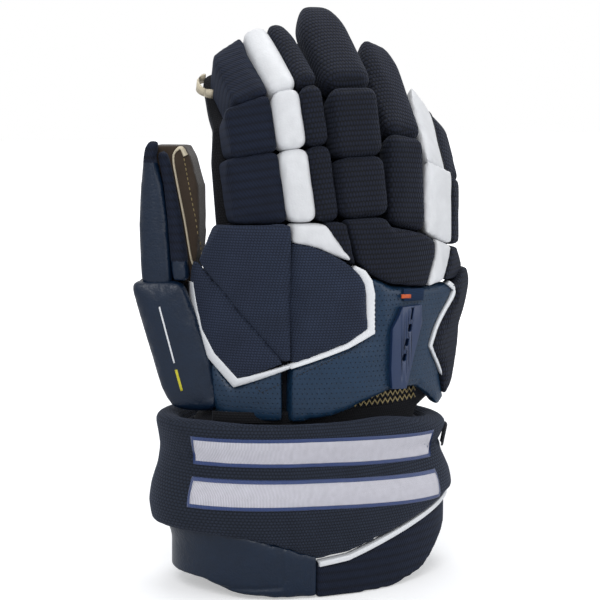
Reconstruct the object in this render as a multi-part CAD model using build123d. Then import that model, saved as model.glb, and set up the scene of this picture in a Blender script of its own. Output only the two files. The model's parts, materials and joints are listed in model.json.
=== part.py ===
from build123d import *
import math
import os

# Right-hand ice-hockey glove standing on its cuff, fingers up.
# Back of the hand faces -Y, palm +Y, little finger +X, thumb -X.  All sizes in mm.

# ------------------------------------------------------------------ driving sizes
GAP = 0.17            # space left on each side of a seam between two pieces
ARCH_X = 12.0         # middle of the round back of the hand
ARCH_FRONT = -50.0    # where the back reaches farthest forward
ARCH_R = 106.0        # radius of the padded back
ARCH_Y = ARCH_FRONT + ARCH_R
PAD = 14.0            # thickness of a hand pad
PLATE = 11.0          # thickness of the flat leather plate
WALL = 3.0            # lining wall
STALL = 22.0          # depth of a finger stall
SKIN = 2.0            # wall of a finger stall
ROUND = 5.0           # rounding of finger rolls
ROUND_SHARE = 0.47    # the most that a rounding may take of the roll's smallest side
WING = 5.0            # thickness of the index side wing

PALM_Y = 29.0         # palm side of the lining
PALM_BEND_Z = 180.0   # where the palm starts to slope to the finger roots
PALM_TOP_Y = 0.0
PALM_TOP_Z = 218.0
HAND_LEFT = -62.0
HAND_RIGHT = 90.0
HAND_BOTTOM = 110.0

# cutting limits that lie outside the whole glove
FRONT = -90.0
BEHIND = 90.0
BELOW_HAND = 40.0
ABOVE_HAND = 280.0
FLAT_R = 400.0        # radius of a back so wide that it cuts nothing

CUFF_X = -4.5         # cuff centre
CUFF_A = 94.0         # cuff half width
CUFF_B = 58.0         # cuff half depth
WRIST_GAP = 5.0       # bare wrist between the cuff and the hand
CUFF_TOP = HAND_BOTTOM - WRIST_GAP
CUFF_ROLL = 17.0      # thickness of the padded cuff roll
FLAP = 8.0            # thickness of a cuff flap
LINER_BOTTOM = 32.0

# Each finger: left edge x, hinge y and z, sideways lean, per segment (length, pitch),
# and the knuckle seam: lift at the left edge and fall per mm to the right.
INDEX = dict(x=1.9, y=-1.0, z=220.6, lean=5.5, segments=[(41.8, 8.0), (18.5, 10.0), (41.0, 54.0)], seam=(0.3, 0.098))
MIDDLE = dict(x=3.2, y=-3.0, z=221.7, lean=3.0, segments=[(32.5, 8.0), (26.0, 10.0), (56.0, 50.0)], seam=(0.3, 0.0))
RING = dict(x=34.5, y=-3.0, z=210.0, lean=-1.5, segments=[(47.0, 9.0), (62.0, 44.0)], seam=(8.0, 0.209))
LITTLE = dict(x=61.2, y=2.0, z=204.5, lean=-3.5, segments=[(38.0, 9.0), (49.0, 38.0)], seam=(6.7, 0.28))

parts = {}


# ------------------------------------------------------------------ helpers
def polyhedron(left, right):
    """Solid between two matching flat outlines."""
    count = len(left)
    faces = [Face(Wire.make_polygon(left, close=True)), Face(Wire.make_polygon(right, close=True))]
    for i in range(count):
        j = (i + 1) % count
        faces.append(Face(Wire.make_polygon([left[i], left[j], right[j], right[i]], close=True)))
    return Solid(Shell(faces))


def prism(points, direction):
    """Outline of 3D points pushed along a direction."""
    return Solid.extrude(Face(Wire.make_polygon(points, close=True)), Vector(*direction))


def prism_y(outline, y0, y1):
    """Outline in x and z, pushed through y."""
    return prism([(x, y0, z) for x, z in outline], (0, y1 - y0, 0))


def prism_x(outline, x0, x1):
    """Outline in y and z, pushed through x."""
    return prism([(x0, y, z) for y, z in outline], (x1 - x0, 0, 0))


def prism_z(outline, z0, z1):
    """Outline in x and y, pushed through z."""
    return prism([(x, y, z0) for x, y in outline], (0, 0, z1 - z0))


def inset(outline, distance):
    """The outline moved inwards by a distance."""
    count = len(outline)
    area = sum(
        outline[i][0] * outline[(i + 1) % count][1] - outline[(i + 1) % count][0] * outline[i][1]
        for i in range(count)
    )
    side = 1.0 if area > 0 else -1.0
    result = []
    for i in range(count):
        ax, ay = outline[i - 1]
        bx, by = outline[i]
        cx, cy = outline[(i + 1) % count]
        d1 = math.hypot(bx - ax, by - ay)
        d2 = math.hypot(cx - bx, cy - by)
        n1 = (-(by - ay) / d1 * side, (bx - ax) / d1 * side)
        n2 = (-(cy - by) / d2 * side, (cx - bx) / d2 * side)
        dot = 1.0 + n1[0] * n2[0] + n1[1] * n2[1]
        k = distance / max(dot, 0.25)
        result.append((bx + (n1[0] + n2[0]) * k, by + (n1[1] + n2[1]) * k))
    return result


def arch_y(x, radius=ARCH_R):
    """Height of the back of the hand at x."""
    return ARCH_Y - math.sqrt(radius ** 2 - (x - ARCH_X) ** 2)


def arch_cylinder(radius, z0=BELOW_HAND, z1=ABOVE_HAND):
    return Pos(ARCH_X, ARCH_Y, (z0 + z1) / 2) * Cylinder(radius, z1 - z0)


def ellipse_cylinder(a, b, z0, z1):
    return extrude(Pos(CUFF_X, 0, z0) * Ellipse(a, b), z1 - z0)


def beside(path, distance):
    """The open path moved to its left by a distance."""
    result = []
    for i, (x, z) in enumerate(path):
        ax, az = path[max(i - 1, 0)]
        cx, cz = path[min(i + 1, len(path) - 1)]
        bx, bz = x - ax, z - az
        dx, dz = cx - x, cz - z
        if i == 0:
            bx, bz = dx, dz
        if i == len(path) - 1:
            dx, dz = bx, bz
        d1 = math.hypot(bx, bz)
        d2 = math.hypot(dx, dz)
        n1 = (-bz / d1, bx / d1)
        n2 = (-dz / d2, dx / d2)
        k = distance / max(1.0 + n1[0] * n2[0] + n1[1] * n2[1], 0.25)
        result.append((x + (n1[0] + n2[0]) * k, z + (n1[1] + n2[1]) * k))
    return result


def single(shape):
    """The one solid of a shape."""
    solids = sorted(shape.solids(), key=lambda s: -s.volume)
    return solids[0]


def hand_pad(outline, outer, inner, back):
    """Pad on the round back of the hand with this front outline, between two radii."""
    body = prism_y(inset(outline, GAP), FRONT, back) & arch_cylinder(outer)
    return single(body - arch_cylinder(inner))


# ------------------------------------------------------------------ fingers
def place(finger, u, v, w):
    """A point of a finger: u across, v towards the palm, w along the finger root."""
    lean = math.radians(finger["lean"])
    x = finger["x"] + u * math.cos(lean) - w * math.sin(lean)
    z = finger["z"] + u * math.sin(lean) + w * math.cos(lean)
    return (x, finger["y"] + v, z)


def hinge_points(finger):
    """Palm-side hinge line of a finger in (v, w)."""
    points = [(0.0, 0.0)]
    for length, pitch in finger["segments"]:
        v, w = points[-1]
        a = math.radians(pitch)
        points.append((v + length * math.sin(a), w + length * math.cos(a)))
    return points


def side_outline(finger, k, near, far, low=GAP, high=GAP):
    """Side outline (v, w) of segment k between two depths below the palm line."""
    segments = finger["segments"]
    length, pitch = segments[k]
    before = segments[k - 1][1] if k else 0.0
    after = segments[k + 1][1] if k + 1 < len(segments) else pitch
    tan_low = math.tan(math.radians((before - pitch) / 2))
    tan_high = math.tan(math.radians((after - pitch) / 2))
    v0, w0 = hinge_points(finger)[k]
    a = math.radians(pitch)
    outline = []
    for depth, end in ((near, 0), (far, 0), (far, 1), (near, 1)):
        s = depth * tan_low + low if end == 0 else length + depth * tan_high - high
        v = v0 - math.cos(a) * depth + math.sin(a) * s
        w = w0 + math.sin(a) * depth + math.cos(a) * s
        outline.append((v, w))
    return outline


def knuckle_seam(finger, k, u):
    """Where a segment starts above its hinge line at u."""
    if k:
        return GAP
    lift, fall = finger["seam"]
    return GAP + max(lift - fall * u, 0.3)


def finger_block(finger, k, u0, u1, near, far, low=None, high=(GAP, GAP)):
    """Segment layer between two depths; near, far, low and high are (left, right) pairs."""
    if low is None:
        low = (knuckle_seam(finger, k, u0), knuckle_seam(finger, k, u1))
    left = side_outline(finger, k, near[0], far[0], low[0], high[0])
    right = side_outline(finger, k, near[1], far[1], low[1], high[1])
    return polyhedron(
        [place(finger, u0, v, w) for v, w in left],
        [place(finger, u1, v, w) for v, w in right],
    )


def depth_at(finger, u):
    """Depth from the hinge line to the back of the hand at u."""
    return finger["y"] - arch_y(finger["x"] + u)


def roll(finger, k, u0, u1, near, rounding=ROUND, trim=(0.0, 0.0)):
    """Padded roll on the back of a finger segment."""
    far = (depth_at(finger, u0) - trim[0], depth_at(finger, u1) - trim[1])
    body = finger_block(finger, k, u0, u1, (near, near), far)
    limit = ROUND_SHARE * min(u1 - u0, min(far) - near, finger["segments"][k][0])
    return single(body.fillet(min(rounding, limit), body.edges()))


def stall(finger, k, u0, u1, depth, wing=0.0):
    """Hollow finger stall of one segment, closed only at the finger end."""
    last = k + 1 == len(finger["segments"])
    body = finger_block(finger, k, u0, u1, (0.0, 0.0), (depth, depth))
    if last:
        end = Vector(*place(finger, (u0 + u1) / 2, *hinge_points(finger)[-1]))
        edges = sorted(body.edges(), key=lambda e: (e.center() - end).length)[:1]
        body = single(body.fillet(4.0, edges))
    if wing:
        side = finger_block(finger, k, u0 - wing, u0 + 1.0, (0.0, 0.0), (WING, WING))
        body = single(body + side)
    high = SKIN + 1.0 if last else -8.0
    hole = finger_block(
        finger, k, u0 + SKIN, u1 - SKIN, (SKIN, SKIN), (depth - SKIN, depth - SKIN), (-8.0, -8.0), (high, high)
    )
    return single(body - hole)


# index: white roll, knit roll and twill side pad over a stall with a side wing
INDEX_W = 29.5
INDEX_SPLIT = 16.5            # width of the white roll
INDEX_SIDE = (28.5, 25.5, 20.5)
INDEX_WING = (35.5, 33.0, 27.0)
for k, name in enumerate(("base", "mid", "tip")):
    split = -INDEX_W + INDEX_SPLIT
    edge = -INDEX_W - INDEX_SIDE[k]
    rounding = 6.5 if name == "tip" else ROUND
    near = STALL + GAP
    parts["index_%s_white_roll" % name] = roll(INDEX, k, -INDEX_W + 0.2, split - 0.2, near)
    parts["index_%s_knit_roll" % name] = roll(INDEX, k, split + 0.2, 0.0, near, rounding, (0.8, 1.5))
    drop = (6.0, 1.5) if name == "tip" else (0.0, 0.0)
    side = finger_block(
        INDEX, k, edge, -INDEX_W - 0.2, (WING + 0.4, WING + 0.4),
        (depth_at(INDEX, edge) + 1.0, depth_at(INDEX, -INDEX_W) - 1.5),
        high=(GAP + drop[0], GAP + drop[1]),
    )
    parts["index_%s_side_pad" % name] = single(side.fillet(3.0, side.edges()))
    parts["index_%s_stall" % name] = stall(INDEX, k, -INDEX_W, 0.0, STALL, INDEX_WING[k])

# middle: three plain rolls
MIDDLE_W = 29.8
for k, name in enumerate(("base", "mid", "tip")):
    rounding = 9.0 if name == "tip" else 6.0
    parts["middle_%s_roll" % name] = roll(MIDDLE, k, 0.0, MIDDLE_W, STALL + GAP, rounding)
    parts["middle_%s_stall" % name] = stall(MIDDLE, k, 0.0, MIDDLE_W, STALL)

# ring: two plain rolls
RING_W = 25.6
for k, name in enumerate(("base", "tip")):
    rounding = 7.5 if name == "tip" else 5.5
    parts["ring_%s_roll" % name] = roll(RING, k, 0.0, RING_W, STALL + GAP, rounding)
    parts["ring_%s_stall" % name] = stall(RING, k, 0.0, RING_W, STALL)

# little: white roll with a dark roll wrapped round the outer side
LITTLE_SPLIT = 24.0
LITTLE_SIDE = 36.0
LITTLE_ROLL = 3.67            # thickness of the white roll at its outer edge
LITTLE_STALL = depth_at(LITTLE, LITTLE_SPLIT) - LITTLE_ROLL
LITTLE_WRAP = (16.67, 6.0)    # thickness of the side roll at its inner and outer edge
for k, name in enumerate(("base", "tip")):
    parts["little_%s_white_roll" % name] = roll(LITTLE, k, 0.0, LITTLE_SPLIT - 0.2, LITTLE_STALL + GAP, 4.0)
    drop = 4.0 if name == "tip" else 0.0
    far = (depth_at(LITTLE, LITTLE_SPLIT) - 1.0, depth_at(LITTLE, LITTLE_SIDE) - 1.0)
    near = (far[0] - LITTLE_WRAP[0], far[1] - LITTLE_WRAP[1])
    side = finger_block(LITTLE, k, LITTLE_SPLIT + 0.2, LITTLE_SIDE, near, far, high=(GAP, GAP + drop))
    parts["little_%s_side_roll" % name] = single(side.fillet(2.6, side.edges()))
    parts["little_%s_stall" % name] = stall(LITTLE, k, 0.0, LITTLE_SPLIT - 0.4, LITTLE_STALL)

# ------------------------------------------------------------------ back of the hand
TRIM = 1.7            # half width of the white trim strips
CENTER_LINE = [(12.8, 195.4), (18.6, 187.0), (20.2, 158.6), (4.8, 149.9), (-27.2, 138.3)]
CORNER_LINE = [(-78.6, 184.4), (-74.6, 158.2), (-68.6, 143.4), (-56.4, 127.0), (-31.4, 138.2)]
KNUCKLE = {
    "index_knuckle_white": [(-27.0, 222.6), (-8.9, 222.7), (7.0, 200.4), (3.4, 201.4), (-15.0, 209.6),
                            (-27.0, 211.8)],
    "index_knuckle_knit": [(-8.0, 222.8), (3.9, 223.4), (9.6, 198.2)],
    "middle_knuckle_roll": [(4.6, 224.1), (31.2, 225.3), (33.3, 220.7), (59.6, 213.7), (69.0, 209.2),
                            (69.0, 200.0),
                            (61.5, 181.3), (35.0, 185.2), (23.0, 190.8), (12.5, 199.6)],
    "little_knuckle_white": [(69.3, 209.3), (79.4, 205.3), (84.9, 203.1), (76.8, 183.0), (62.0, 181.2),
                             (69.3, 200.0)],
    "little_knuckle_side": [(85.4, 202.8), (92.5, 202.3), (99.5, 190.0), (96.0, 181.6), (77.4, 182.8)],
    "index_hand_pad": [(-63.5, 220.8), (-27.6, 222.4), (-27.6, 141.2),
                       (-32.0, 140.8), (-73.1, 199.1)],
    "index_corner_pad": [(-76.0, 197.4), (-73.6, 198.6), (-32.4, 141.2)] + beside(CORNER_LINE, TRIM)[::-1],
    "center_hand_pad": [(-27.2, 211.4), (-15.0, 209.2), (-1.7, 203.2)] + beside(CENTER_LINE, -TRIM),
}
for name, outline in KNUCKLE.items():
    back = INDEX["y"] - 1.5 if name == "index_hand_pad" else 4.0
    parts[name] = hand_pad(outline, ARCH_R, ARCH_R - PAD, back)

BACKHAND = [(23.2, 189.4), (35.5, 183.6), (61.4, 180.6), (77.6, 181.2), (80.6, 176.0), (66.0, 144.0),
            (80.5, 118.0), (73.8, 110.6), (44.5, 116.0), (12.2, 116.0), (-27.2, 110.6)]
BACKHAND += beside(CENTER_LINE, TRIM)[:0:-1]
parts["backhand_plate"] = hand_pad(BACKHAND, ARCH_R - 3, ARCH_R - 3 - PLATE, 4.0)
THUMB_PLATE = beside(CORNER_LINE, -TRIM)[2:] + [(-30.9, 110.6), (-60.6, 110.6), (-66.4, 118.0), (-72.0, 130.0)]
parts["thumb_side_plate"] = hand_pad(THUMB_PLATE, ARCH_R - 4, ARCH_R - 3 - PLATE, 4.0)
SIDE_PANEL = [(81.6, 176.0), (79.0, 181.0), (96.5, 180.6), (100.5, 171.0), (97.0, 146.0), (88.0, 122.0),
              (81.5, 118.4), (67.0, 144.0)]
parts["little_side_panel"] = hand_pad(SIDE_PANEL, ARCH_R - 1, ARCH_R - PAD, 6.0)

# white cord trim standing between the pads and the leather plates
for name, line in (("center_trim", CENTER_LINE), ("corner_trim", CORNER_LINE)):
    strip = beside(line, TRIM) + beside(line, -TRIM)[::-1]
    parts[name] = hand_pad(strip, ARCH_R - 0.5, ARCH_R - 8.0, 2.0)

# moulded knuckle guard with slots, and its label
GUARD = [(38.6, 166.3), (41.0, 171.4), (56.0, 171.4), (56.5, 160.4), (50.4, 142.0), (44.5, 121.1), (33.7, 122.0),
         (32.8, 134.3), (33.7, 158.4)]
guard = hand_pad(GUARD, ARCH_R + 1.5, ARCH_R - 2.8, 0.0)
# a slit above three short slots, in (x, z, length, width), standing upright with a slight tilt
GUARD_TILT = 80.0
for x, z, length, width in ((48.2, 166.6, 7.4, 1.4), (46.6, 158.2, 4.8, 2.6), (44.3, 149.6, 4.8, 2.6),
                            (42.6, 140.6, 4.8, 2.6)):
    slot = extrude(Plane.XZ * SlotOverall(length, width, rotation=GUARD_TILT), 15, both=True)
    guard = guard - Pos(x, -45.0, z) * slot
parts["knuckle_guard"] = single(guard)
LABEL = [(42.2, 182.6), (60.2, 181.2), (59.4, 172.6), (42.2, 173.4)]
parts["guard_label"] = hand_pad(inset(LABEL, 0.6), ARCH_R - 1.0, ARCH_R - 2.8, 0.0)


# ------------------------------------------------------------------ inner hand and palm
def palm_line(offset, top):
    """Palm side of the hand in (y, z), moved outwards by an offset."""
    dy = PALM_TOP_Y - PALM_Y
    dz = PALM_TOP_Z - PALM_BEND_Z
    size = math.hypot(dy, dz)
    ny, nz = dz / size, -dy / size
    k = offset * (1 - ny) / nz
    bend = (PALM_Y + offset, PALM_BEND_Z + k)
    t = (top - bend[1]) / dz
    return [bend, (bend[0] + dy * t, top)]


LINING_TOP = [(HAND_LEFT - 9, 100.0), (HAND_RIGHT + 9, 100.0), (HAND_RIGHT + 9, 203.2), (79.4, 203.2),
              (61.2, 210.6), (60.2, 210.6), (34.2, 217.2), (33.2, 221.9), (3.0, 221.9), (2.3, 220.8),
              (HAND_LEFT - 9, 220.8)]
PALM_CUT = [(HAND_LEFT - 9, 100.0), (HAND_RIGHT + 9, 100.0), (HAND_RIGHT + 9, 199.6), (61.0, 199.6),
            (60.0, 207.0), (33.8, 207.0), (33.0, 216.8), (HAND_LEFT - 9, 216.8)]


CORE_TOP = 240.0      # above the rim of the lining


def hand_core(radius, offset, bottom, left, right):
    """Solid filling the hand: round back, flat sides and bent palm."""
    bend, top = palm_line(offset, CORE_TOP)
    outline = [(FRONT, bottom), (bend[0], bottom), bend, top, (FRONT, CORE_TOP)]
    return prism_x(outline, left, right) & arch_cylinder(radius)


lining_radius = ARCH_R - PAD - GAP
lining = hand_core(lining_radius, 0.0, HAND_BOTTOM, HAND_LEFT, HAND_RIGHT)
lining = lining - hand_core(lining_radius - WALL, -WALL, BELOW_HAND, HAND_LEFT + WALL, HAND_RIGHT - WALL)
lining = lining & prism_y(LINING_TOP, FRONT, BEHIND)
# the palm side of the rim stops at the ring and little hinge lines, so that those fingers can close
for finger, width in ((RING, RING_W), (LITTLE, LITTLE_SPLIT)):
    lining = lining - Pos(finger["x"] - 0.7, finger["y"] - 1.5, finger["z"] - 0.6) * Box(
        width + 1.4, 60.0, 60.0, align=(Align.MIN, Align.MIN, Align.MIN)
    )
THUMB_HOLE = (8.0, 25.0, 122.0, 178.0)
hole = prism_x(
    [(THUMB_HOLE[0], THUMB_HOLE[2]), (THUMB_HOLE[1], THUMB_HOLE[2]), (THUMB_HOLE[1], THUMB_HOLE[3]),
     (THUMB_HOLE[0], THUMB_HOLE[3])], HAND_LEFT - 5, HAND_LEFT + 12,
)
parts["hand_lining"] = single(lining - hole)

PALM_SKIN = 2.6
PALM_SEAM = 0.4       # between the lining and the palm leather
palm = hand_core(FLAT_R, PALM_SEAM + PALM_SKIN, HAND_BOTTOM, HAND_LEFT, HAND_RIGHT)
palm = palm - hand_core(FLAT_R, PALM_SEAM, BELOW_HAND, HAND_LEFT - 5, HAND_RIGHT + 5)
palm = palm & prism_y(PALM_CUT, -1.0, BEHIND)
parts["palm_leather"] = single(palm)


# ------------------------------------------------------------------ thumb
# Plan outline of the thumb in a frame turned so that v is the way the thumb closes.
THUMB_X = -88.0
THUMB_Y = 18.0
THUMB_TURN = 60.0
THUMB_FOLD = 187.0
THUMB_TOP = 270.0
THUMB_SHELL = 13.0


def thumb_point(u, v, z, cx=THUMB_X, cy=THUMB_Y):
    a = math.radians(THUMB_TURN)
    return (cx + u * math.sin(a) + v * math.cos(a), cy - u * math.cos(a) + v * math.sin(a), z)


def thumb_ring(u0, u1, v0, v1, z, cx=THUMB_X, cy=THUMB_Y):
    return [thumb_point(u, v, z, cx, cy) for u, v in ((u0, v0), (u1, v0), (u1, v1), (u0, v1))]


TIP_HALF = 15.0
TIP_BACK = -18.0
TIP_PALM = 18.0
TIP_SPLIT = 6.0
fold = THUMB_FOLD + GAP
tip_shell = polyhedron(
    thumb_ring(-TIP_HALF - 0.5, TIP_SPLIT - 0.2, TIP_BACK, TIP_BACK + THUMB_SHELL, fold),
    thumb_ring(-TIP_HALF + 4.0, TIP_SPLIT - 3.2, TIP_BACK + 5.0, TIP_BACK + THUMB_SHELL, THUMB_TOP),
)
parts["thumb_tip_shell"] = single(tip_shell.fillet(4.0, tip_shell.edges()))
tip_side = polyhedron(
    thumb_ring(TIP_SPLIT + 0.2, TIP_HALF - 1.0, TIP_BACK + 1.0, TIP_BACK + THUMB_SHELL, fold + 3),
    thumb_ring(TIP_SPLIT - 2.8, TIP_HALF - 8.0, TIP_BACK + 6.0, TIP_BACK + THUMB_SHELL, THUMB_TOP - 6),
)
parts["thumb_tip_side"] = single(tip_side.fillet(1.6, tip_side.edges()))
stall_back = TIP_BACK + THUMB_SHELL + GAP
tip_stall = polyhedron(
    thumb_ring(-TIP_HALF + 1, TIP_HALF + 1.0, stall_back, TIP_PALM, fold),
    thumb_ring(-TIP_HALF + 4, TIP_HALF - 3.0, stall_back, TIP_PALM - 3, THUMB_TOP - 3),
)
tip_hole = polyhedron(
    thumb_ring(-TIP_HALF + 3, TIP_HALF - 1.0, stall_back + SKIN, TIP_PALM - SKIN, fold - 5),
    thumb_ring(-TIP_HALF + 6, TIP_HALF - 5.0, stall_back + SKIN, TIP_PALM - 3 - SKIN, THUMB_TOP - 6),
)
parts["thumb_tip_stall"] = single(tip_stall - tip_hole)

BASE_LOW = HAND_BOTTOM - 4.0
base_fold = THUMB_FOLD - GAP
base_shell = polyhedron(
    thumb_ring(-17.0, 13.5, -20.0, -20.0 + THUMB_SHELL, base_fold),
    thumb_ring(-11.0, 8.5, -16.0, -16.0 + THUMB_SHELL, BASE_LOW, -74.5, 9.0),
)
parts["thumb_base_shell"] = single(base_shell.fillet(4.0, base_shell.edges()))
BASE_ROOT = (-74.5, 9.0)
root_back = -16.0 + THUMB_SHELL + GAP
top_ring = [(-15.0, stall_back - 2), (13.0, stall_back - 2), (19.2, 4.0), (19.2, TIP_PALM), (-15.0, TIP_PALM)]
chamfer = (4.0 - root_back) * (19.2 - 13.0) / (4.0 - stall_back + 2)
low_ring = [(-9.0, root_back), (5.8 - chamfer, root_back), (5.8, 4.0), (5.8, 14.0), (-9.0, 14.0)]
base_stall_outer = polyhedron(
    [thumb_point(u, v, base_fold) for u, v in top_ring],
    [thumb_point(u, v, BASE_LOW + 6, *BASE_ROOT) for u, v in low_ring],
)
base_hole = polyhedron(
    thumb_ring(-13.0, 11.0, stall_back, TIP_PALM - SKIN, base_fold + 4),
    thumb_ring(-7.0, 1.4, root_back + SKIN, 12.0, BASE_LOW + 10, *BASE_ROOT),
)
side_hole = prism_x([(9.0, 124.0), (22.0, 124.0), (22.0, 176.0), (9.0, 176.0)], -78.0, -55.0)
parts["thumb_base_stall"] = single(base_stall_outer - base_hole - side_hole)

# ------------------------------------------------------------------ cuff
# Lower edge of the cuff roll in (x, z): lowest at the split between the two flaps.
CUFF_EDGE = [(-120.0, 41.0), (-74.0, 39.0), (-58.0, 37.0), (-40.0, 32.0), (-17.0, 23.0), (3.0, 25.5),
             (32.0, 35.0), (53.0, 41.6), (78.0, 49.0), (120.0, 56.0)]
SPLIT_X = -16.5


def above_edge(lift, y0=FRONT, y1=BEHIND, top=CUFF_TOP + 35.0):
    """Everything above the lower edge of the cuff roll moved up by a lift."""
    ends = [(CUFF_EDGE[-1][0], top), (CUFF_EDGE[0][0], top)]
    return prism_y([(x, z + lift) for x, z in CUFF_EDGE] + ends, y0, y1)


def ring(outer, inner, z0, z1):
    """Elliptical tube between two insets from the cuff outline."""
    return ellipse_cylinder(CUFF_A - outer, CUFF_B - outer, z0, z1) - ellipse_cylinder(
        CUFF_A - inner, CUFF_B - inner, z0 - 5, z1 + 5
    )


CUFF_OPEN = [(-62.0, 70.0), (-56.0, 18.0), (50.0, 18.0), (56.0, 70.0)]
cuff_roll = ring(0.0, CUFF_ROLL, 10.0, CUFF_TOP) & above_edge(0.0)
cuff_roll = single(cuff_roll - prism_z(CUFF_OPEN, -5.0, 140.0))
rim = [e for e in cuff_roll.edges() if abs(e.bounding_box().min.Z - CUFF_TOP) < 0.01]
cuff_roll = single(cuff_roll.fillet(7.0, [e for e in rim if e.length > 60]))
parts["cuff_roll"] = cuff_roll

insert = ring(CUFF_ROLL + 0.3, CUFF_ROLL + 2.0, 48.0, CUFF_TOP - 4.0)
parts["cuff_insert"] = single(insert & (Pos(CUFF_X, -45, 70) * Box(110, 50, 200)))
liner = ring(CUFF_ROLL + 2.3, CUFF_ROLL + 5.0, LINER_BOTTOM, CUFF_TOP - 1.0)
parts["cuff_liner"] = single(liner)
mesh = ring(CUFF_ROLL + 5.35, CUFF_ROLL + 6.8, CUFF_TOP - 2.0, HAND_BOTTOM - 0.3)
parts["wrist_mesh"] = single(mesh & (Pos(CUFF_X, -45, 100) * Box(128, 86, 40)))

TRIM_DROP = 3.6       # how far the white arc reaches below the roll
trim_band = ring(1.0, 7.0, 0.0, 90.0) & above_edge(-TRIM_DROP, FRONT, 20.0) - above_edge(-0.3, FRONT - 1, 21.0)
trim_band = single(trim_band & (Pos(SPLIT_X + 1.0 + 50.0, -40, 40) * Box(100, 120, 140)))
parts["cuff_trim"] = trim_band

tag = ellipse_cylinder(CUFF_A + 1.6, CUFF_B + 1.6, 78.0, 98.0) - ellipse_cylinder(
    CUFF_A + GAP, CUFF_B + GAP, 70.0, 110.0
)
parts["cuff_tag"] = single(tag & (Pos(90.0, -14.0, 88.0) * Box(30, 14, 40)))


def flap(side, lift, bottom):
    """Curved cuff flap left (-1) or right (+1) of the split, with its own bottom outline."""
    body = ring(2.0, 2.0 + FLAP, -5.0, 100.0)
    body = body - above_edge(lift)
    x = SPLIT_X + side * 0.6
    wide = x + side * 150.0
    half = [(x, FRONT), (wide, FRONT), (wide, 42.0), (x + side * 30.0, 42.0), (x, -20.0)]
    body = body & prism_z(half, -10.0, 120.0)
    body = body & prism_y(bottom, FRONT, BEHIND)
    return single(body)


THUMB_FLAP_BOTTOM = [(-120.0, 5.0), (-88.0, 5.0), (-74.0, 2.0), (-45.0, 0.0), (0.0, 0.0), (0.0, 60.0), (-120.0, 60.0)]
LITTLE_FLAP_BOTTOM = [(-40.0, 0.0), (36.0, 0.0), (58.0, 6.0), (74.0, 16.0), (90.0, 28.0), (120.0, 28.0),
                      (120.0, 70.0), (-40.0, 70.0)]
thumb_flap = flap(-1, -2 * GAP, THUMB_FLAP_BOTTOM)
little_flap = flap(1, -TRIM_DROP - 2 * GAP, LITTLE_FLAP_BOTTOM)
parts["thumb_side_flap"] = thumb_flap
parts["little_side_flap"] = little_flap

# The origin is the middle of the overall box, on the surface the cuff stands on.
boxes = [shape.bounding_box() for shape in parts.values()]
middle_x = (min(b.min.X for b in boxes) + max(b.max.X for b in boxes)) / 2
middle_y = (min(b.min.Y for b in boxes) + max(b.max.Y for b in boxes)) / 2
bottom = min(b.min.Z for b in boxes)
print("moved by", round(-middle_x, 4), round(-middle_y, 4), round(-bottom, 4))

os.makedirs("parts", exist_ok=True)
for name, shape in parts.items():
    moved = Pos(-middle_x, -middle_y, -bottom) * shape
    export_step(moved, "parts/%s.step" % name)
    print(name, round(shape.volume), shape.is_valid)
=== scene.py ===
import json
import math

import bmesh
import bpy
import numpy as np
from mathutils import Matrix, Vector
from mathutils.bvhtree import BVHTree


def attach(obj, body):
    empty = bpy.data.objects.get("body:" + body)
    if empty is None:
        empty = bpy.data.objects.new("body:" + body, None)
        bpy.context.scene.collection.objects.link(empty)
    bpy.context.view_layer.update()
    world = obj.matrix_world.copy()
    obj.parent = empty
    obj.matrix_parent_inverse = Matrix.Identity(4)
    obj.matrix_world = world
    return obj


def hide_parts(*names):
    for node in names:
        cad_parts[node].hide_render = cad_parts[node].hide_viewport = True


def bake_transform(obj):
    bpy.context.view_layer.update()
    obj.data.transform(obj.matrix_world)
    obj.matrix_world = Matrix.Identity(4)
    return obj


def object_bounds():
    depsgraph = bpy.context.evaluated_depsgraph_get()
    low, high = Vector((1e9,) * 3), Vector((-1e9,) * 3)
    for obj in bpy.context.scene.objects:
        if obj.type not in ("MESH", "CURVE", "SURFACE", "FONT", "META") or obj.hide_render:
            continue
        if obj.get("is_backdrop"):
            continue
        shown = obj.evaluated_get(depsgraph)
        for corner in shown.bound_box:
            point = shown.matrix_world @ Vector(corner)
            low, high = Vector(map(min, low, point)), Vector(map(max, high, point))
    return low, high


bl_info = {
    "name": "Ice hockey glove",
    "version": (1, 0, 0),
    "blender": (4, 5, 0),
    "location": "View3D > Sidebar > Glove",
    "description": "Dresses a padded ice hockey glove in leather, knit, mesh and trim",
    "category": "Object",
}

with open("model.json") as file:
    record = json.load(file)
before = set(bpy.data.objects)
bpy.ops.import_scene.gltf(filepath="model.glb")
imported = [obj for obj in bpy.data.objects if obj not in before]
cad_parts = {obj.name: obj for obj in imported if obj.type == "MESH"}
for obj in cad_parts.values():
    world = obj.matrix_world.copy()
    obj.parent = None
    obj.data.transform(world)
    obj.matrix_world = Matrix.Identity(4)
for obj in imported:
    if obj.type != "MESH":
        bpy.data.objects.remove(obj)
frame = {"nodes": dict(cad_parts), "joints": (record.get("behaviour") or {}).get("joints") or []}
CAD_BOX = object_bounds()

# The glove's own frame is in mm: x towards the little finger, y towards the palm, z up along the fingers.
MM = 0.001
JOINTS = {joint["name"]: joint for joint in frame["joints"]}
WRIST_PIVOT = Vector((-4.5, 30.0, 108.0))
ORIGIN = Vector(JOINTS["wrist"]["pos_m"]) - WRIST_PIVOT * MM
ARCH_CENTRE = (12.0, 56.0)
ARCH_RADIUS = 106.0
CUFF_CENTRE = (-4.5, 0.0)
CUFF_HALVES = (94.0, 58.0)
THUMB_TURN = 60.0


def at(x, y, z):
    """A place given in the glove's own frame."""
    return ORIGIN + Vector((x, y, z)) * MM


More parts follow.
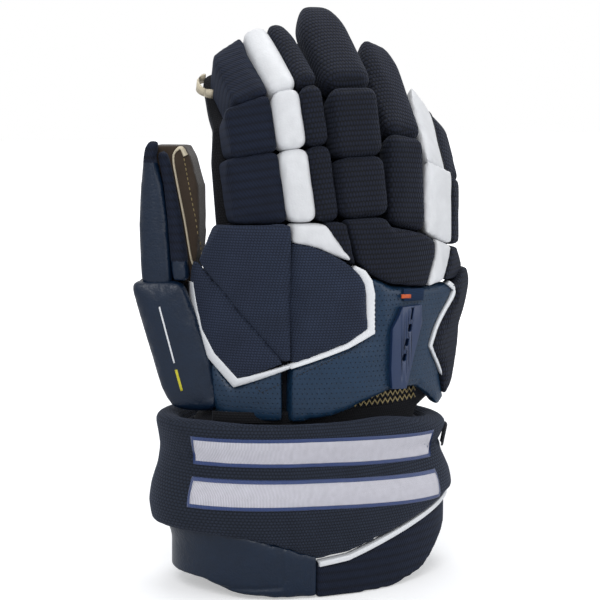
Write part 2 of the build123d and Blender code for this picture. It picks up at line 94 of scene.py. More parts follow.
def arch_y(x, radius=ARCH_RADIUS):
    """Where a cylinder around the back of the hand lies at x."""
    return ARCH_CENTRE[1] - math.sqrt(max(radius ** 2 - (x - ARCH_CENTRE[0]) ** 2, 1.0))


def smooth(value, low, high):
    """Rises softly from 0 at low to 1 at high."""
    share = np.clip((value - low) / (high - low), 0.0, 1.0)
    return share * share * (3.0 - 2.0 * share)


def eased(count):
    """Shares from 0 to 1 that lie closer together near both ends."""
    return [0.5 - 0.5 * math.cos(math.pi * k / (count - 1)) for k in range(count)]


# ------------------------------------------------------------------ mesh helpers
def coords(obj):
    """The mesh's points as an array."""
    values = np.empty(len(obj.data.vertices) * 3)
    obj.data.vertices.foreach_get("co", values)
    return values.reshape(-1, 3)


def set_coords(obj, points):
    obj.data.vertices.foreach_set("co", np.ascontiguousarray(points).ravel())
    obj.data.update()


def glove_coords(obj):
    """The mesh's points in the glove's own frame, in mm."""
    return (coords(obj) - np.array(ORIGIN)) / MM


def set_glove_coords(obj, points):
    set_coords(obj, points * MM + np.array(ORIGIN))


def normals(obj):
    values = np.empty(len(obj.data.vertices) * 3)
    obj.data.vertices.foreach_get("normal", values)
    return values.reshape(-1, 3)


def new_piece(name, points, faces):
    mesh = bpy.data.meshes.new(name)
    mesh.from_pydata([tuple(point) for point in points], [], faces)
    mesh.update()
    mesh.shade_smooth()
    obj = bpy.data.objects.new(name, mesh)
    bpy.context.scene.collection.objects.link(obj)
    return obj


def freeze(obj):
    """Makes the result of the modifiers the mesh."""
    graph = bpy.context.evaluated_depsgraph_get()
    mesh = bpy.data.meshes.new_from_object(obj.evaluated_get(graph))
    old = obj.data
    obj.modifiers.clear()
    obj.data = mesh
    mesh.name = old.name
    bpy.data.meshes.remove(old)
    obj.data.shade_smooth()
    return obj


def modify(obj, kind, **settings):
    """Adds a modifier with these settings and makes its result the mesh."""
    modifier = obj.modifiers.new(kind.lower(), kind)
    for key, value in settings.items():
        setattr(modifier, key, value)
    return freeze(obj)


def relax(obj, steps, strength=0.5):
    """Rounds a mesh by moving each point towards its neighbours."""
    points = coords(obj)
    edges = np.empty(len(obj.data.edges) * 2, dtype=np.int64)
    obj.data.edges.foreach_get("vertices", edges)
    one, two = edges.reshape(-1, 2).T
    count = np.bincount(one, minlength=len(points)) + np.bincount(two, minlength=len(points))
    count = np.maximum(count, 1)
    for _ in range(steps):
        mean = np.stack([
            np.bincount(one, points[two, k], len(points)) + np.bincount(two, points[one, k], len(points))
            for k in range(3)
        ], axis=1) / count[:, None]
        points = points + strength * (mean - points)
    set_coords(obj, points)
    return obj


def refit(obj, low, high, basis, grow=(0.0, 0.0, 0.0)):
    """Stretches a rounded mesh back to its first extents along its own directions, and grows it in mm."""
    local = coords(obj) @ basis
    least, most = local.min(0), local.max(0)
    low = low - np.array(grow) * MM
    high = high + np.array(grow) * MM
    local = low + (local - least) * (high - low) / (most - least)
    set_coords(obj, local @ basis.T)


def inflate(obj, pressure, limit):
    """Lets a filling push the cover outwards, no point by more than the limit in mm."""
    before = coords(obj)
    cloth = obj.modifiers.new("filling", "CLOTH")
    cloth.settings.quality = 4
    cloth.settings.use_pressure = True
    cloth.settings.uniform_pressure_force = pressure
    cloth.settings.effector_weights.gravity = 0.0
    cloth.settings.tension_stiffness = 8.0
    cloth.settings.compression_stiffness = 8.0
    cloth.settings.bending_stiffness = 0.3
    for step in range(CLOTH_STEPS):
        bpy.context.scene.frame_set(step + 1)
    freeze(obj)
    bpy.context.scene.frame_set(1)
    move = coords(obj) - before
    size = np.linalg.norm(move, axis=1)
    move *= np.minimum(1.0, limit * MM / np.maximum(size, 1e-9))[:, None]
    set_coords(obj, before + move)


def push(obj, amount):
    """Moves each point along its normal by an amount in mm, one value or one per point."""
    amount = np.broadcast_to(np.asarray(amount, float), (len(obj.data.vertices),))
    set_coords(obj, coords(obj) + normals(obj) * amount[:, None] * MM)


def copy_nodes(name, nodes):
    """One mesh of these solids."""
    points, faces = [], []
    for node in nodes:
        mesh = frame["nodes"][node].data
        start = len(points)
        points += [vertex.co.copy() for vertex in mesh.vertices]
        faces += [[start + k for k in polygon.vertices] for polygon in mesh.polygons]
    obj = new_piece(name, points, faces)
    modify(obj, "WELD", merge_threshold=0.00002)
    return obj


UPRIGHT = np.eye(3)
CLOTH_STEPS = 20          # frames in which a filling settles
CREASE_ANGLE = math.radians(35.0)


def cushion(name, node, body, voxel, rounding, swell, basis=UPRIGHT, grow=(0.0, 0.0, 0.0),
            shape=None):
    """A padded piece in the place of its solid, with rounded edges and a crowned face."""
    obj = copy_nodes(name, [node])
    local = coords(obj) @ basis
    low, high = local.min(0), local.max(0)
    modify(obj, "REMESH", mode="VOXEL", voxel_size=voxel * MM)
    relax(obj, rounding)
    refit(obj, low, high, basis, grow)
    if shape:
        shape(obj)
    if swell:
        inflate(obj, SIZES.pressure, swell)
    modify(obj, "SUBSURF", levels=1)
    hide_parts(node)
    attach(obj, body)
    return obj


def thin_piece(name, node, body, bevel=0.6):
    """A lining, leather or stiffener layer in the place of its solid, with worn-in round edges."""
    obj = copy_nodes(name, [node])
    modify(obj, "BEVEL", width=bevel * MM, segments=2, limit_method="ANGLE", angle_limit=CREASE_ANGLE)
    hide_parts(node)
    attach(obj, body)
    return obj


def groove(obj, path, depth, width):
    """Presses a seam into the front of a piece along a path of (x, z) points, in mm."""
    flat = glove_coords(obj)[:, (0, 2)]
    nearest = np.full(len(flat), 1e9)
    for one, two in zip(path[:-1], path[1:]):
        one, two = np.array(one), np.array(two)
        along = two - one
        share = np.clip(((flat - one) @ along) / (along @ along), 0.0, 1.0)
        nearest = np.minimum(nearest, np.linalg.norm(flat - one - share[:, None] * along, axis=1))
    facing = np.clip(-normals(obj)[:, 1] * 2.0, 0.0, 1.0)
    push(obj, -depth * np.exp(-((nearest / width) ** 2)) * facing)


# ------------------------------------------------------------------ pieces laid on a surface
LINE_REACH = 0.15         # how far a straight line looks for a surface, in m
BACK_CLEAR = 25.0         # how far outside the back, the cuff and a side the lines start, in mm
CUFF_CLEAR = 20.0
SIDE_CLEAR = 60.0


def caster(objects):
    """Finds where a straight line first meets any of these pieces."""
    trees = [
        BVHTree.FromPolygons([v.co for v in obj.data.vertices], [p.vertices[:] for p in obj.data.polygons])
        for obj in objects
    ]

    def touch(start, way):
        hits = [tree.ray_cast(start, way, LINE_REACH) for tree in trees]
        hits = [hit for hit in hits if hit[0] is not None]
        return min(hits, key=lambda hit: hit[3])[0] if hits else None

    return touch


def on_arch(radius):
    """Surface (x, z, height) of a round back with this radius."""
    return lambda x, z, height: at(x, arch_y(x, radius + height), z)


def on_back(objects):
    """Surface (x, z, height) of these pieces, seen from outside the back of the hand."""
    touch = caster(objects)

    def surface(x, z, height):
        y = arch_y(x, ARCH_RADIUS + BACK_CLEAR)
        start = at(x, y, z)
        way = Vector((ARCH_CENTRE[0] - x, ARCH_CENTRE[1] - y, 0.0)).normalized()
        place = touch(start, way) or start + way * BACK_CLEAR * MM
        return place - way * height * MM

    return surface


def on_cuff(objects):
    """Surface (angle in degrees, z, height) of these pieces, seen from outside the cuff."""
    touch = caster(objects)

    def surface(angle, z, height):
        turn = math.radians(angle)
        wide, deep = CUFF_HALVES[0] * math.sin(turn), -CUFF_HALVES[1] * math.cos(turn)
        way = -Vector((math.sin(turn) / CUFF_HALVES[0], -math.cos(turn) / CUFF_HALVES[1], 0.0)).normalized()
        start = at(CUFF_CENTRE[0] + wide, CUFF_CENTRE[1] + deep, z) - way * CUFF_CLEAR * MM
        place = touch(start, way) or start + way * CUFF_CLEAR * MM
        return place - way * height * MM

    return surface


def on_side(objects, way, origin, across):
    """Surface (distance across, z, height) of these pieces, met by straight lines along one way."""
    touch = caster(objects)

    def surface(u, z, height):
        start = at(*origin) + across * u * MM - way * SIDE_CLEAR * MM
        start.z = at(0.0, 0.0, z).z
        place = touch(start, way) or start + way * SIDE_CLEAR * MM
        return place - way * height * MM

    return surface


def mitred(path, distances):
    """The path moved to its left by a distance of its own at each point."""
    result = []
    for k, here in enumerate(path):
        before = np.array(path[max(k - 1, 0)])
        after = np.array(path[min(k + 1, len(path) - 1)])
        here = np.array(here)
        ways = [way for way in (here - before, after - here) if np.linalg.norm(way) > 0]
        ways = [way / np.linalg.norm(way) for way in ways]
        sides = [np.array((-way[1], way[0])) for way in ways]
        side = sum(sides) / len(sides)
        result.append(here + side * distances[k] / (side @ side))
    return result


def divided(points, lengths, step):
    """Points with equal steps between each pair of given points."""
    result = []
    for one, two, length in zip(points[:-1], points[1:], lengths):
        count = max(int(length / step), 1)
        result += [one + (two - one) * k / count for k in range(count)]
    return result + [points[-1]]


STRIP_POINTS = 9          # points across the face of a strip
STRIP_CROWN = 0.3         # the lower, the flatter the face and the tighter its edges
UNDERSIDE = (0.92, 0.08)  # shares of the width where a strip's hidden back edge runs


def strip(name, path, widths, surface, thick=1.0, sink=2.0, tilt=(0.0, 0.0), step=2.0, scale=1.0):
    """A flat band with rounded edges and mitred corners, laid along a path.

    The scale says how many mm one unit of the path's first number is.
    """
    flat = [np.array((x * scale, z)) for x, z in path]
    lengths = [np.linalg.norm(two - one) for one, two in zip(flat[:-1], flat[1:])]
    left = divided(mitred(flat, [w / 2 for w in widths]), lengths, step)
    right = divided(mitred(flat, [-w / 2 for w in widths]), lengths, step)
    rings = []
    for one, two in zip(left, right):
        ring = []
        for share in eased(STRIP_POINTS):
            x, z = one + (two - one) * share
            height = thick * math.sin(math.pi * min(max(share, 0.02), 0.98)) ** STRIP_CROWN
            ring.append(surface(x / scale, z, height + tilt[0] + (tilt[1] - tilt[0]) * share))
        for share in UNDERSIDE:
            x, z = one + (two - one) * share
            ring.append(surface(x / scale, z, -sink))
        rings.append(ring)
    return tube(name, rings, (True, True))


# (share of the length, share of the thickness) of the four rings of one stitch
STITCH_RINGS = ((0.0, 0.25), (0.2, 0.9), (0.8, 0.9), (1.0, 0.25))


def stitches(name, path, surface, spacing=2.6, length=1.8, thick=0.35):
    """A row of thread stitches along a path on a surface, as one piece."""
    flat = [np.array(place) for place in path]
    points, faces = [], []
    for one, two in zip(flat[:-1], flat[1:]):
        distance = np.linalg.norm(two - one)
        count = max(int(distance / spacing), 1)
        for k in range(count):
            middle = one + (two - one) * (k + 0.5) / count
            half = (two - one) / distance * length / 2
            first, last, foot = [
                surface(*place, 0.0) for place in (middle - half, middle + half, middle)
            ]
            out = (surface(*middle, 1.0) - foot).normalized()
            along = last - first
            if along.length > 3.0 * length * MM:
                continue
            side = along.cross(out).normalized() * thick * MM
            rise = out * thick * MM
            start = len(points)
            for share, level in STITCH_RINGS:
                base = first + along * share
                points += [base + side * level, base + rise * level * 1.3]
                points += [base - side * level, base - rise * level]
            for ring in range(3):
                for j in range(4):
                    a, b = start + ring * 4 + j, start + ring * 4 + (j + 1) % 4
                    faces.append((a, b, b + 4, a + 4))
            faces.append((start + 3, start + 2, start + 1, start))
            faces.append((start + 12, start + 13, start + 14, start + 15))
    obj = new_piece(name, points, faces)
    flip_outwards(obj)
    return obj


def fixed(obj, finish, body, slot=None):
    """Dresses a small sewn-on piece and lets it ride on a body."""
    cloth_flat(obj)
    dress(obj, finish, slot)
    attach(obj, body)
    return obj


# ------------------------------------------------------------------ cloth directions
def face_data(obj):
    """Point indices and face normals for every corner of the mesh."""
    mesh = obj.data
    loops = np.empty(len(mesh.loops), dtype=np.int64)
    mesh.loops.foreach_get("vertex_index", loops)
    face_normals = np.empty(len(mesh.polygons) * 3)
    mesh.polygons.foreach_get("normal", face_normals)
    totals = np.empty(len(mesh.polygons), dtype=np.int64)
    mesh.polygons.foreach_get("loop_total", totals)
    return loops, np.repeat(face_normals.reshape(-1, 3), totals, axis=0)


def write_cloth(obj, u, v):
    layer = obj.data.uv_layers.get("cloth") or obj.data.uv_layers.new(name="cloth")
    layer.data.foreach_set("uv", np.stack([u, v], axis=1).astype(np.float32).ravel())


def cloth_flat(obj, basis=UPRIGHT):
    """Lays the cloth pattern flat on each side of a piece, in mm along its own directions."""
    loops, facing = face_data(obj)
    local = (glove_coords(obj) @ basis)[loops]
    side = np.abs(facing @ basis).argmax(axis=1)
    u = np.where(side == 0, local[:, 1], local[:, 0])
    v = np.where(side == 2, local[:, 1], local[:, 2])
    write_cloth(obj, u, v)


def cloth_round(obj, centre, radius):
    """Rolls the cloth pattern out around an upright axis, in mm."""
    loops, facing = face_data(obj)
    local = glove_coords(obj)[loops]
    dx, dy = local[:, 0] - centre[0], local[:, 1] - centre[1]
    u = radius * np.arctan2(dx, -dy)
    v = np.where(np.abs(facing[:, 2]) > 0.8, np.hypot(dx, dy), local[:, 2])
    write_cloth(obj, u, v)


# ------------------------------------------------------------------ materials
def linear(code):
    """A colour written as sRGB hex, as the linear colour that shaders take."""
    values = [int(code[k:k + 2], 16) / 255 for k in (1, 3, 5)]
    return tuple(v / 12.92 if v <= 0.04045 else ((v + 0.055) / 1.055) ** 2.4 for v in values) + (1.0,)


def add(tree, kind, settings=None, inputs=None):
    """Adds a node with its settings; an input is a value or the socket that feeds it."""
    node = tree.nodes.new(kind)
    for key, value in (settings or {}).items():
        setattr(node, key, value)
    for key, value in (inputs or {}).items():
        if isinstance(value, bpy.types.NodeSocket):
            tree.links.new(value, node.inputs[key])
        else:
            node.inputs[key].default_value = value
    return node


def start_material(name):
    """An empty material with its output, and the mm coordinates of its cloth."""
    material = bpy.data.materials.new(name)
    material.use_nodes = True
    tree = material.node_tree
    tree.nodes.clear()
    output = add(tree, "ShaderNodeOutputMaterial")
    uv = add(tree, "ShaderNodeUVMap", {"uv_map": "cloth"})
    return material, tree, output, uv.outputs[0]


def grid(tree, uv, across, along, shift=0.0, slant=0.0):
    """Sockets (u, v) from -0.5 to 0.5 inside each stitch of a repeated pattern, sizes in mm."""
    split = add(tree, "ShaderNodeSeparateXYZ", None, {0: uv})
    row = add(tree, "ShaderNodeMath", {"operation": "DIVIDE"}, {0: split.outputs[1], 1: along})
    column = add(tree, "ShaderNodeMath", {"operation": "DIVIDE"}, {0: split.outputs[0], 1: across})
    if slant:
        column = add(tree, "ShaderNodeMath", {"operation": "MULTIPLY_ADD"},
                     {0: row.outputs[0], 1: slant, 2: column.outputs[0]})
    if shift:
        whole = add(tree, "ShaderNodeMath", {"operation": "FLOOR"}, {0: row.outputs[0]})
        column = add(tree, "ShaderNodeMath", {"operation": "MULTIPLY_ADD"},
                     {0: whole.outputs[0], 1: shift, 2: column.outputs[0]})
    sockets = []
    for value in (column, row):
        part = add(tree, "ShaderNodeMath", {"operation": "FRACT"}, {0: value.outputs[0]})
        centred = add(tree, "ShaderNodeMath", {"operation": "SUBTRACT"}, {0: part.outputs[0], 1: 0.5})
        sockets.append(centred.outputs[0])
    return sockets


def bump_dot(tree, u, v, size):
    """Height of a soft round dot: 1 in the middle, 0 outside its size (a share of the stitch)."""
    pair = add(tree, "ShaderNodeCombineXYZ", None, {0: u, 1: v})
    far = add(tree, "ShaderNodeVectorMath", {"operation": "LENGTH"}, {0: pair.outputs[0]})
    height = add(tree, "ShaderNodeMapRange", {"interpolation_type": "SMOOTHSTEP"},
                 {"Value": far.outputs["Value"], "From Min": size, "From Max": size * 0.25,
                  "To Min": 0.0, "To Max": 1.0})
    return height.outputs[0]


def mottled(tree, uv, scale, detail=3.0, rough=0.55):
    """Uneven cloud over the cloth; scale is how many spots there are in a mm."""
    cloud = add(tree, "ShaderNodeTexNoise", None,
                {"Vector": uv, "Scale": scale, "Detail": detail, "Roughness": rough})
    return cloud.outputs[0]


def finish_material(tree, output, color, roughness, height, depth, **shader):
    """The surface shader, with its relief in mm."""
    inputs = {"Base Color": color, "Roughness": roughness}
    inputs.update({key.replace("_", " "): value for key, value in shader.items()})
    relief = {"Height": height, "Distance": depth * MM, "Strength": 1.0}
    inputs["Normal"] = add(tree, "ShaderNodeBump", None, relief).outputs[0]
    surface = add(tree, "ShaderNodeBsdfPrincipled", None, inputs)
    tree.links.new(surface.outputs[0], output.inputs[0])


def shaded(color, level):
    """A colour at a share of its brightness."""
    return tuple(value * level for value in color[:3]) + (1.0,)


def two_colors(tree, share, low, high):
    return add(tree, "ShaderNodeMix", {"data_type": "RGBA"}, {0: share, 6: low, 7: high}).outputs[2]


def worn(tree, uv, color, amount, scale=0.05):
    """The colour made a little lighter and darker in wide soft patches."""
    cloud = mottled(tree, uv, scale, 2.0)
    level = add(tree, "ShaderNodeMapRange", None,
                {"Value": cloud, "From Min": 0.3, "From Max": 0.7,
                 "To Min": 1.0 - amount, "To Max": 1.0 + amount})
    shade = add(tree, "ShaderNodeHueSaturation", None, {"Color": color, "Value": level.outputs[0]})
    return shade.outputs[0]


def knit_material(name, gap_shade, loop, across, along, depth, sheen, shift=0.5, slant=0.0, dot=0.62):
    """Knit or woven cloth: round stitches in rows, with painted shade in the gaps between them, sizes in mm.
    """
    material, tree, output, uv = start_material(name)
    u, v = grid(tree, uv, across, along, shift, slant)
    height = bump_dot(tree, u, v, dot)
    # painted shade: the colour falls to the gap colour where the relief of the stitches sinks between them
    color = worn(tree, uv, two_colors(tree, height, gap_shade, loop), 0.12)
    finish_material(tree, output, color, 0.85, height, depth, Sheen_Weight=sheen, Sheen_Roughness=0.45,
                    Sheen_Tint=linear("#7a86a4"), Specular_IOR_Level=0.25)
    return material


HOLE_SIZE = 0.17          # share of the spacing that a punched hole takes


def leather_material(name, color, deep, roughness, grain, depth, holes=0.0):
    """Coated leather: pebbled grain in mm and painted shade in its soft folds, with optional punched holes
    at a spacing in mm.
    """
    material, tree, output, uv = start_material(name)
    pebbles = add(tree, "ShaderNodeTexVoronoi", {"feature": "SMOOTH_F1"},
                  {"Vector": uv, "Scale": 1.0 / grain, "Smoothness": 0.6})
    folds = mottled(tree, uv, 0.16, 3.0, 0.6)
    height = add(tree, "ShaderNodeMath", {"operation": "MULTIPLY_ADD"},
                 {0: folds, 1: 2.2, 2: pebbles.outputs[0]}).outputs[0]
    # painted shade: the colour falls to the share deep of itself where the folds of the relief sink
    tone = two_colors(tree, folds, shaded(color, deep), color)
    if holes:
        u, v = grid(tree, uv, holes, holes, 0.5)
        hole = bump_dot(tree, u, v, HOLE_SIZE)
        tone = two_colors(tree, hole, tone, linear("#070a10"))
        height = add(tree, "ShaderNodeMath", {"operation": "MULTIPLY_ADD"},
                     {0: hole, 1: -4.0, 2: height}).outputs[0]
    finish_material(tree, output, worn(tree, uv, tone, 0.06), roughness, height, depth,
                    Specular_IOR_Level=0.36)
    return material


def suede_material(name, color):
    """Split suede: a matt nap with darker handled patches."""
    material, tree, output, uv = start_material(name)
    nap = mottled(tree, uv, 1.2, 5.0, 0.75)
    handled = mottled(tree, uv, 0.06, 3.0, 0.6)
    tone = two_colors(tree, handled, shaded(color, 0.45), color)
    shade = add(tree, "ShaderNodeMix", {"data_type": "RGBA", "blend_type": "MULTIPLY"},
                {0: 0.5, 6: tone, 7: nap})
    finish_material(tree, output, shade.outputs[2], 0.9, nap, 0.3, Sheen_Weight=0.3, Sheen_Roughness=0.5,
                    Specular_IOR_Level=0.2)
    return material


def plastic_material(name, color):
    """Moulded thermoplastic: satin, finely sparked."""
    material, tree, output, uv = start_material(name)
    spark = mottled(tree, uv, 2.0, 2.0)
    tone = worn(tree, uv, two_colors(tree, spark, shaded(color, 0.85), color), 0.05)
    finish_material(tree, output, tone, 0.36, spark, 0.04, Specular_IOR_Level=0.5)
    return material


def binding_material(name, color):
    """Coated binding strip: smooth satin."""
    material, tree, output, uv = start_material(name)
    fine = mottled(tree, uv, 0.8, 3.0)
    finish_material(tree, output, two_colors(tree, fine, shaded(color, 0.94), color), 0.4, fine, 0.05)
    return material


def thread_material(name, color):
    """Rayon embroidery: parallel glossy threads with painted shade between them, 0.4 mm in the real one,
    drawn at 0.9 mm.
    """
    material, tree, output, uv = start_material(name)
    across, _ = grid(tree, uv, 0.9, 7.0, 0.33)
    ridge = add(tree, "ShaderNodeMath", {"operation": "ABSOLUTE"}, {0: across})
    ridge = add(tree, "ShaderNodeMapRange", {"interpolation_type": "SMOOTHSTEP"},
                {"Value": ridge.outputs[0], "From Min": 0.5, "From Max": 0.0}).outputs[0]
    # painted shade: the colour falls to 0.6 of itself between the threads, where the relief sinks
    tone = worn(tree, uv, two_colors(tree, ridge, shaded(color, 0.6), color), 0.05, 0.2)
    finish_material(tree, output, tone, 0.42, ridge, 0.2, Specular_IOR_Level=0.5, Sheen_Weight=0.2)
    return material


def plain_material(name, color):
    """Weld film, waxed or bonded thread, or a cut edge: fine even grain."""
    material, tree, output, uv = start_material(name)
    fine = mottled(tree, uv, 1.5, 3.0)
    finish_material(tree, output, worn(tree, uv, color, 0.12, 0.4), 0.5, fine, 0.05)
    return material


# Leathers by finish; deep is the share of the colour that is left in the folds, as painted shade.
LEATHERS = {
    # Coated white leather, embossed: satin, faint pebble and soft creases.
    "white_leather": dict(name="white_coated_leather", deep=0.86, roughness=0.45, grain=1.0, depth=0.08),
    # Coated navy leather, punched: small holes every 2 mm, drawn every 3 mm so that they show.
    "navy_leather": dict(name="navy_punched_leather", deep=0.66, roughness=0.4, grain=1.2, depth=0.1,
                         holes=3.0),
    # The same leather without holes, on the thumb and the cuff flap.
    "thumb_leather": dict(name="navy_smooth_leather", deep=0.6, roughness=0.36, grain=1.3, depth=0.12),
}
# Cloths by finish: name, colour of the loops, painted shade in the gaps as a colour of its own or as a share
# of the loops' colour, pattern.
CLOTHS = {
    # Heavy raschel knit: rows of plump loops, matt with a slight sheen.
    "navy_knit": ("navy_raschel_knit", "knit_loop", "knit_gap_shade",
                  dict(across=1.9, along=3.0, depth=0.4, sheen=0.12)),
    # Dense dotted knit on the hand pads, loops 1.2 mm in the real one, drawn at 1.8 mm so that they show.
    "hex_knit": ("navy_dotted_knit", "hex_knit", 0.34,
                 dict(across=1.8, along=1.6, depth=0.22, sheen=0.25, slant=0.3)),
    # Ballistic twill: thin diagonal ribs, 1.1 mm in the real one, drawn at 1.7 mm so that they show.
    "navy_twill": ("navy_ballistic_twill", "twill", 0.34,
                   dict(across=1.7, along=5.0, depth=0.2, sheen=0.15, shift=0.0, slant=1.6, dot=0.7)),
    # Knit on the cuff: plump dashes in rows.
    "cuff_knit": ("navy_cuff_knit", "cuff_knit", 0.3, dict(across=2.3, along=1.9, depth=0.3, sheen=0.2)),
    # Open stretch mesh in the gussets and at the wrist.
    "black_mesh": ("black_stretch_mesh", "mesh", 0.2, dict(across=1.6, along=1.6, depth=0.2, sheen=0.1)),
    # Brushed nylon lining: soft and dull.
    "lining": ("charcoal_brushed_lining", "lining", 0.4, dict(across=1.4, along=1.4, depth=0.1, sheen=0.2)),
    # Plain weave of the tag's tape and of the label: flat and fine.
    "tag": ("black_woven_tape", "tag", 0.3, dict(across=1.2, along=1.2, depth=0.08, sheen=0.1)),
    "label": ("blue_woven_label", "label", 0.4, dict(across=1.0, along=1.0, depth=0.06, sheen=0.1)),
}
# The other finishes: maker, name, colour.
OTHERS = {
    "suede": (suede_material, "brown_split_suede", "suede"),
    "suede_patch": (suede_material, "brown_split_suede_patch", "suede_patch"),
    "guard_plastic": (plastic_material, "navy_moulded_tpu", "guard"),
    "white_trim": (binding_material, "white_coated_binding", "binding"),
    "thread_white": (thread_material, "rayon_thread_white", "thread_white"),
    "thread_blue": (thread_material, "rayon_thread_blue", "thread_blue"),
    "orange": (plain_material, "orange_weld_film", "orange"),
    "yellow": (plain_material, "yellow_weld_film", "yellow"),
    "thread_dark": (plain_material, "bonded_navy_thread", "thread_dark"),
    "thread_tan": (plain_material, "waxed_tan_thread", "thread_tan"),
    "cream_edge": (plain_material, "cream_cut_leather_edge", "cream_edge"),
}


def make_materials():
    """All finishes of the glove in its present colours."""
    colors = {key: tuple(getattr(COLORS, key)) for key in GloveColors.__annotations__}
    table = {key: leather_material(color=colors[key], **facts) for key, facts in LEATHERS.items()}
    for key, (name, loop, gap_shade, pattern) in CLOTHS.items():
        # the painted shade in the gaps: a colour of its own, or a share of the loops' colour
        dark = colors[gap_shade] if gap_shade in colors else shaded(colors[loop], gap_shade)
        table[key] = knit_material(name, dark, colors[loop], **pattern)
    table.update({key: make(name, colors[color]) for key, (make, name, color) in OTHERS.items()})
    return table


MATERIALS = {}


def dress(obj, finish, slot=None):
    """Gives a piece its material; the slot is not used."""
    obj.data.materials.clear()
    obj.data.materials.append(MATERIALS[finish])
    return obj


# ------------------------------------------------------------------ fingers
FINGERS = {
    "index": dict(parts=("base", "mid", "tip"), joints=("knuckle", "middle_joint", "tip_joint"),
                  left=-29.5, right=0.0, depth=22.0, tip_pitch=54.0, tip_length=41.0),
    "middle": dict(parts=("base", "mid", "tip"), joints=("knuckle", "middle_joint", "tip_joint"),
                   left=0.0, right=29.8, depth=22.0, tip_pitch=50.0, tip_length=56.0),
    "ring": dict(parts=("base", "tip"), joints=("knuckle", "middle_joint"),
                 left=0.0, right=25.6, depth=22.0, tip_pitch=44.0, tip_length=62.0),
    "little": dict(parts=("base", "tip"), joints=("knuckle", "middle_joint"),
                   left=0.0, right=23.6, depth=19.0, tip_pitch=38.0, tip_length=49.0),
}
# how far the index finger's side wing reaches at each hinge and at the tip
INDEX_WING = (33.6, 31.0, 27.2, 23.0)
WING_RISE = 9.0           # how far the wing lifts off the palm side along the tip
TIP_ROUND = 0.82          # share of the tip segment where a sleeve starts to close
TIP_FLAT = 0.35           # share of its width that a closed sleeve keeps at its end
# where a sleeve's rings stand, as shares of a segment, and at the root in mm
ROOT_RINGS = (-14.0, -10.0, -6.0, -3.0)
BEFORE_HINGE = (0.5, 0.97)
AFTER_HINGE = (0.03, 0.5)
HALF_RINGS = 6
TIP_RINGS = 16
# pull loop at the index tip: how far it stands out, half its height, half its thickness and half its width
LOOP_REACH = 7.0
LOOP_RADIUS = 8.0
LOOP_THICK = 0.8
LOOP_HALF = 3.0
LOOP_DEPTH = -11.5        # where it sits between palm side and back


def middle_of(finger):
    """The middle of a finger's width, where its hinges are given."""
    return (FINGERS[finger]["left"] + FINGERS[finger]["right"]) / 2


class Segment:
    """One finger segment: its hinge in the palm-side plane and its own directions."""

    def __init__(self, finger, index):
        facts = FINGERS[finger]
        joint = JOINTS["%s_%s" % (finger, facts["joints"][index])]
        self.body = "%s_%s" % (finger, facts["parts"][index])
        self.across = -Vector(joint["axis"]).normalized()
        palm = Vector((0.0, 1.0, 0.0))
        root = self.across.cross(palm).normalized()
        self.hinge = Vector(joint["pos_m"]) - self.across * middle_of(finger) * MM
        if index + 1 < len(facts["joints"]):
            following = JOINTS["%s_%s" % (finger, facts["joints"][index + 1])]
            way = Vector(following["pos_m"]) - Vector(joint["pos_m"])
            self.length = way.length / MM
            self.along = way.normalized()
        else:
            pitch = math.radians(facts["tip_pitch"])
            self.length = facts["tip_length"]
            self.along = root * math.cos(pitch) + palm * math.sin(pitch)
        self.palm = self.along.cross(self.across).normalized()
        self.pitch = math.atan2(self.along.dot(palm), self.along.dot(root))

    def basis(self):
        return np.array([self.across, self.palm, self.along]).T

    def place(self, u, v, w):
        return self.hinge + (self.across * u + self.palm * v + self.along * w) * MM


def chain(finger):
    return [Segment(finger, k) for k in range(len(FINGERS[finger]["parts"]))]


def rounded_outline(points, passes=3):
    """Cuts the corners of a closed outline a few times."""
    for _ in range(passes):
        cut = []
        for k, point in enumerate(points):
            following = points[(k + 1) % len(points)]
            cut.append(tuple(0.75 * a + 0.25 * b for a, b in zip(point, following)))
            cut.append(tuple(0.25 * a + 0.75 * b for a, b in zip(point, following)))
        points = cut
    return points


def stall_outline(finger, station):
    """Section of a finger stall, the palm side at v = 0; the station counts segments from the root."""
    facts = FINGERS[finger]
    left, right, deep = facts["left"], facts["right"], -facts["depth"]
    if finger == "index":
        wing = left - np.interp(station, range(len(INDEX_WING)), INDEX_WING)
        rise = WING_RISE * smooth(station, 2.2, 3.0)
        points = [(right, 0.0), (right, deep), (left - 1.0, deep), (left - 2.0, -8.0 - rise),
                  (wing + 8.0, -5.5 - rise), (wing, -4.5 - rise), (wing, 0.2 - rise), (left, 0.3)]
    else:
        points = [(right, 0.0), (right, deep), (left, deep), (left, 0.0)]
    dense = []
    for k, point in enumerate(points):
        following = points[(k + 1) % len(points)]
        for share in (0.0, 0.33, 0.67):
            dense.append(tuple(a + (b - a) * share for a, b in zip(point, following)))
    return rounded_outline(dense, 2)


def sleeve_rings(finger, segments, index, first, last, count, closed=False):
    """Rings along one segment between two shares of its length, mitred at the joints."""
    segment = segments[index]
    before = segments[index - 1].pitch if index else 0.0
    after = segments[index + 1].pitch if index + 1 < len(segments) else segment.pitch
    low = math.tan((before - segment.pitch) / 2)
    high = math.tan((after - segment.pitch) / 2)
    rings = []
    for k in range(count):
        share = first + (last - first) * k / (count - 1)
        outline = stall_outline(finger, index + share)
        centre = [sum(p[j] for p in outline) / len(outline) for j in (0, 1)]
        size = 1.0
        if closed and share > TIP_ROUND:
            size = math.sqrt(max(1.0 - ((share - TIP_ROUND) / (1.01 - TIP_ROUND)) ** 2, 0.02))
        ring = []
        for u, v in outline:
            u = centre[0] + (u - centre[0]) * (TIP_FLAT + (1.0 - TIP_FLAT) * size)
            v = centre[1] + (v - centre[1]) * size
            start = -v * low
            stop = segment.length - v * high
            ring.append(segment.place(u, v, start + (stop - start) * share))
        rings.append(ring)
    return rings


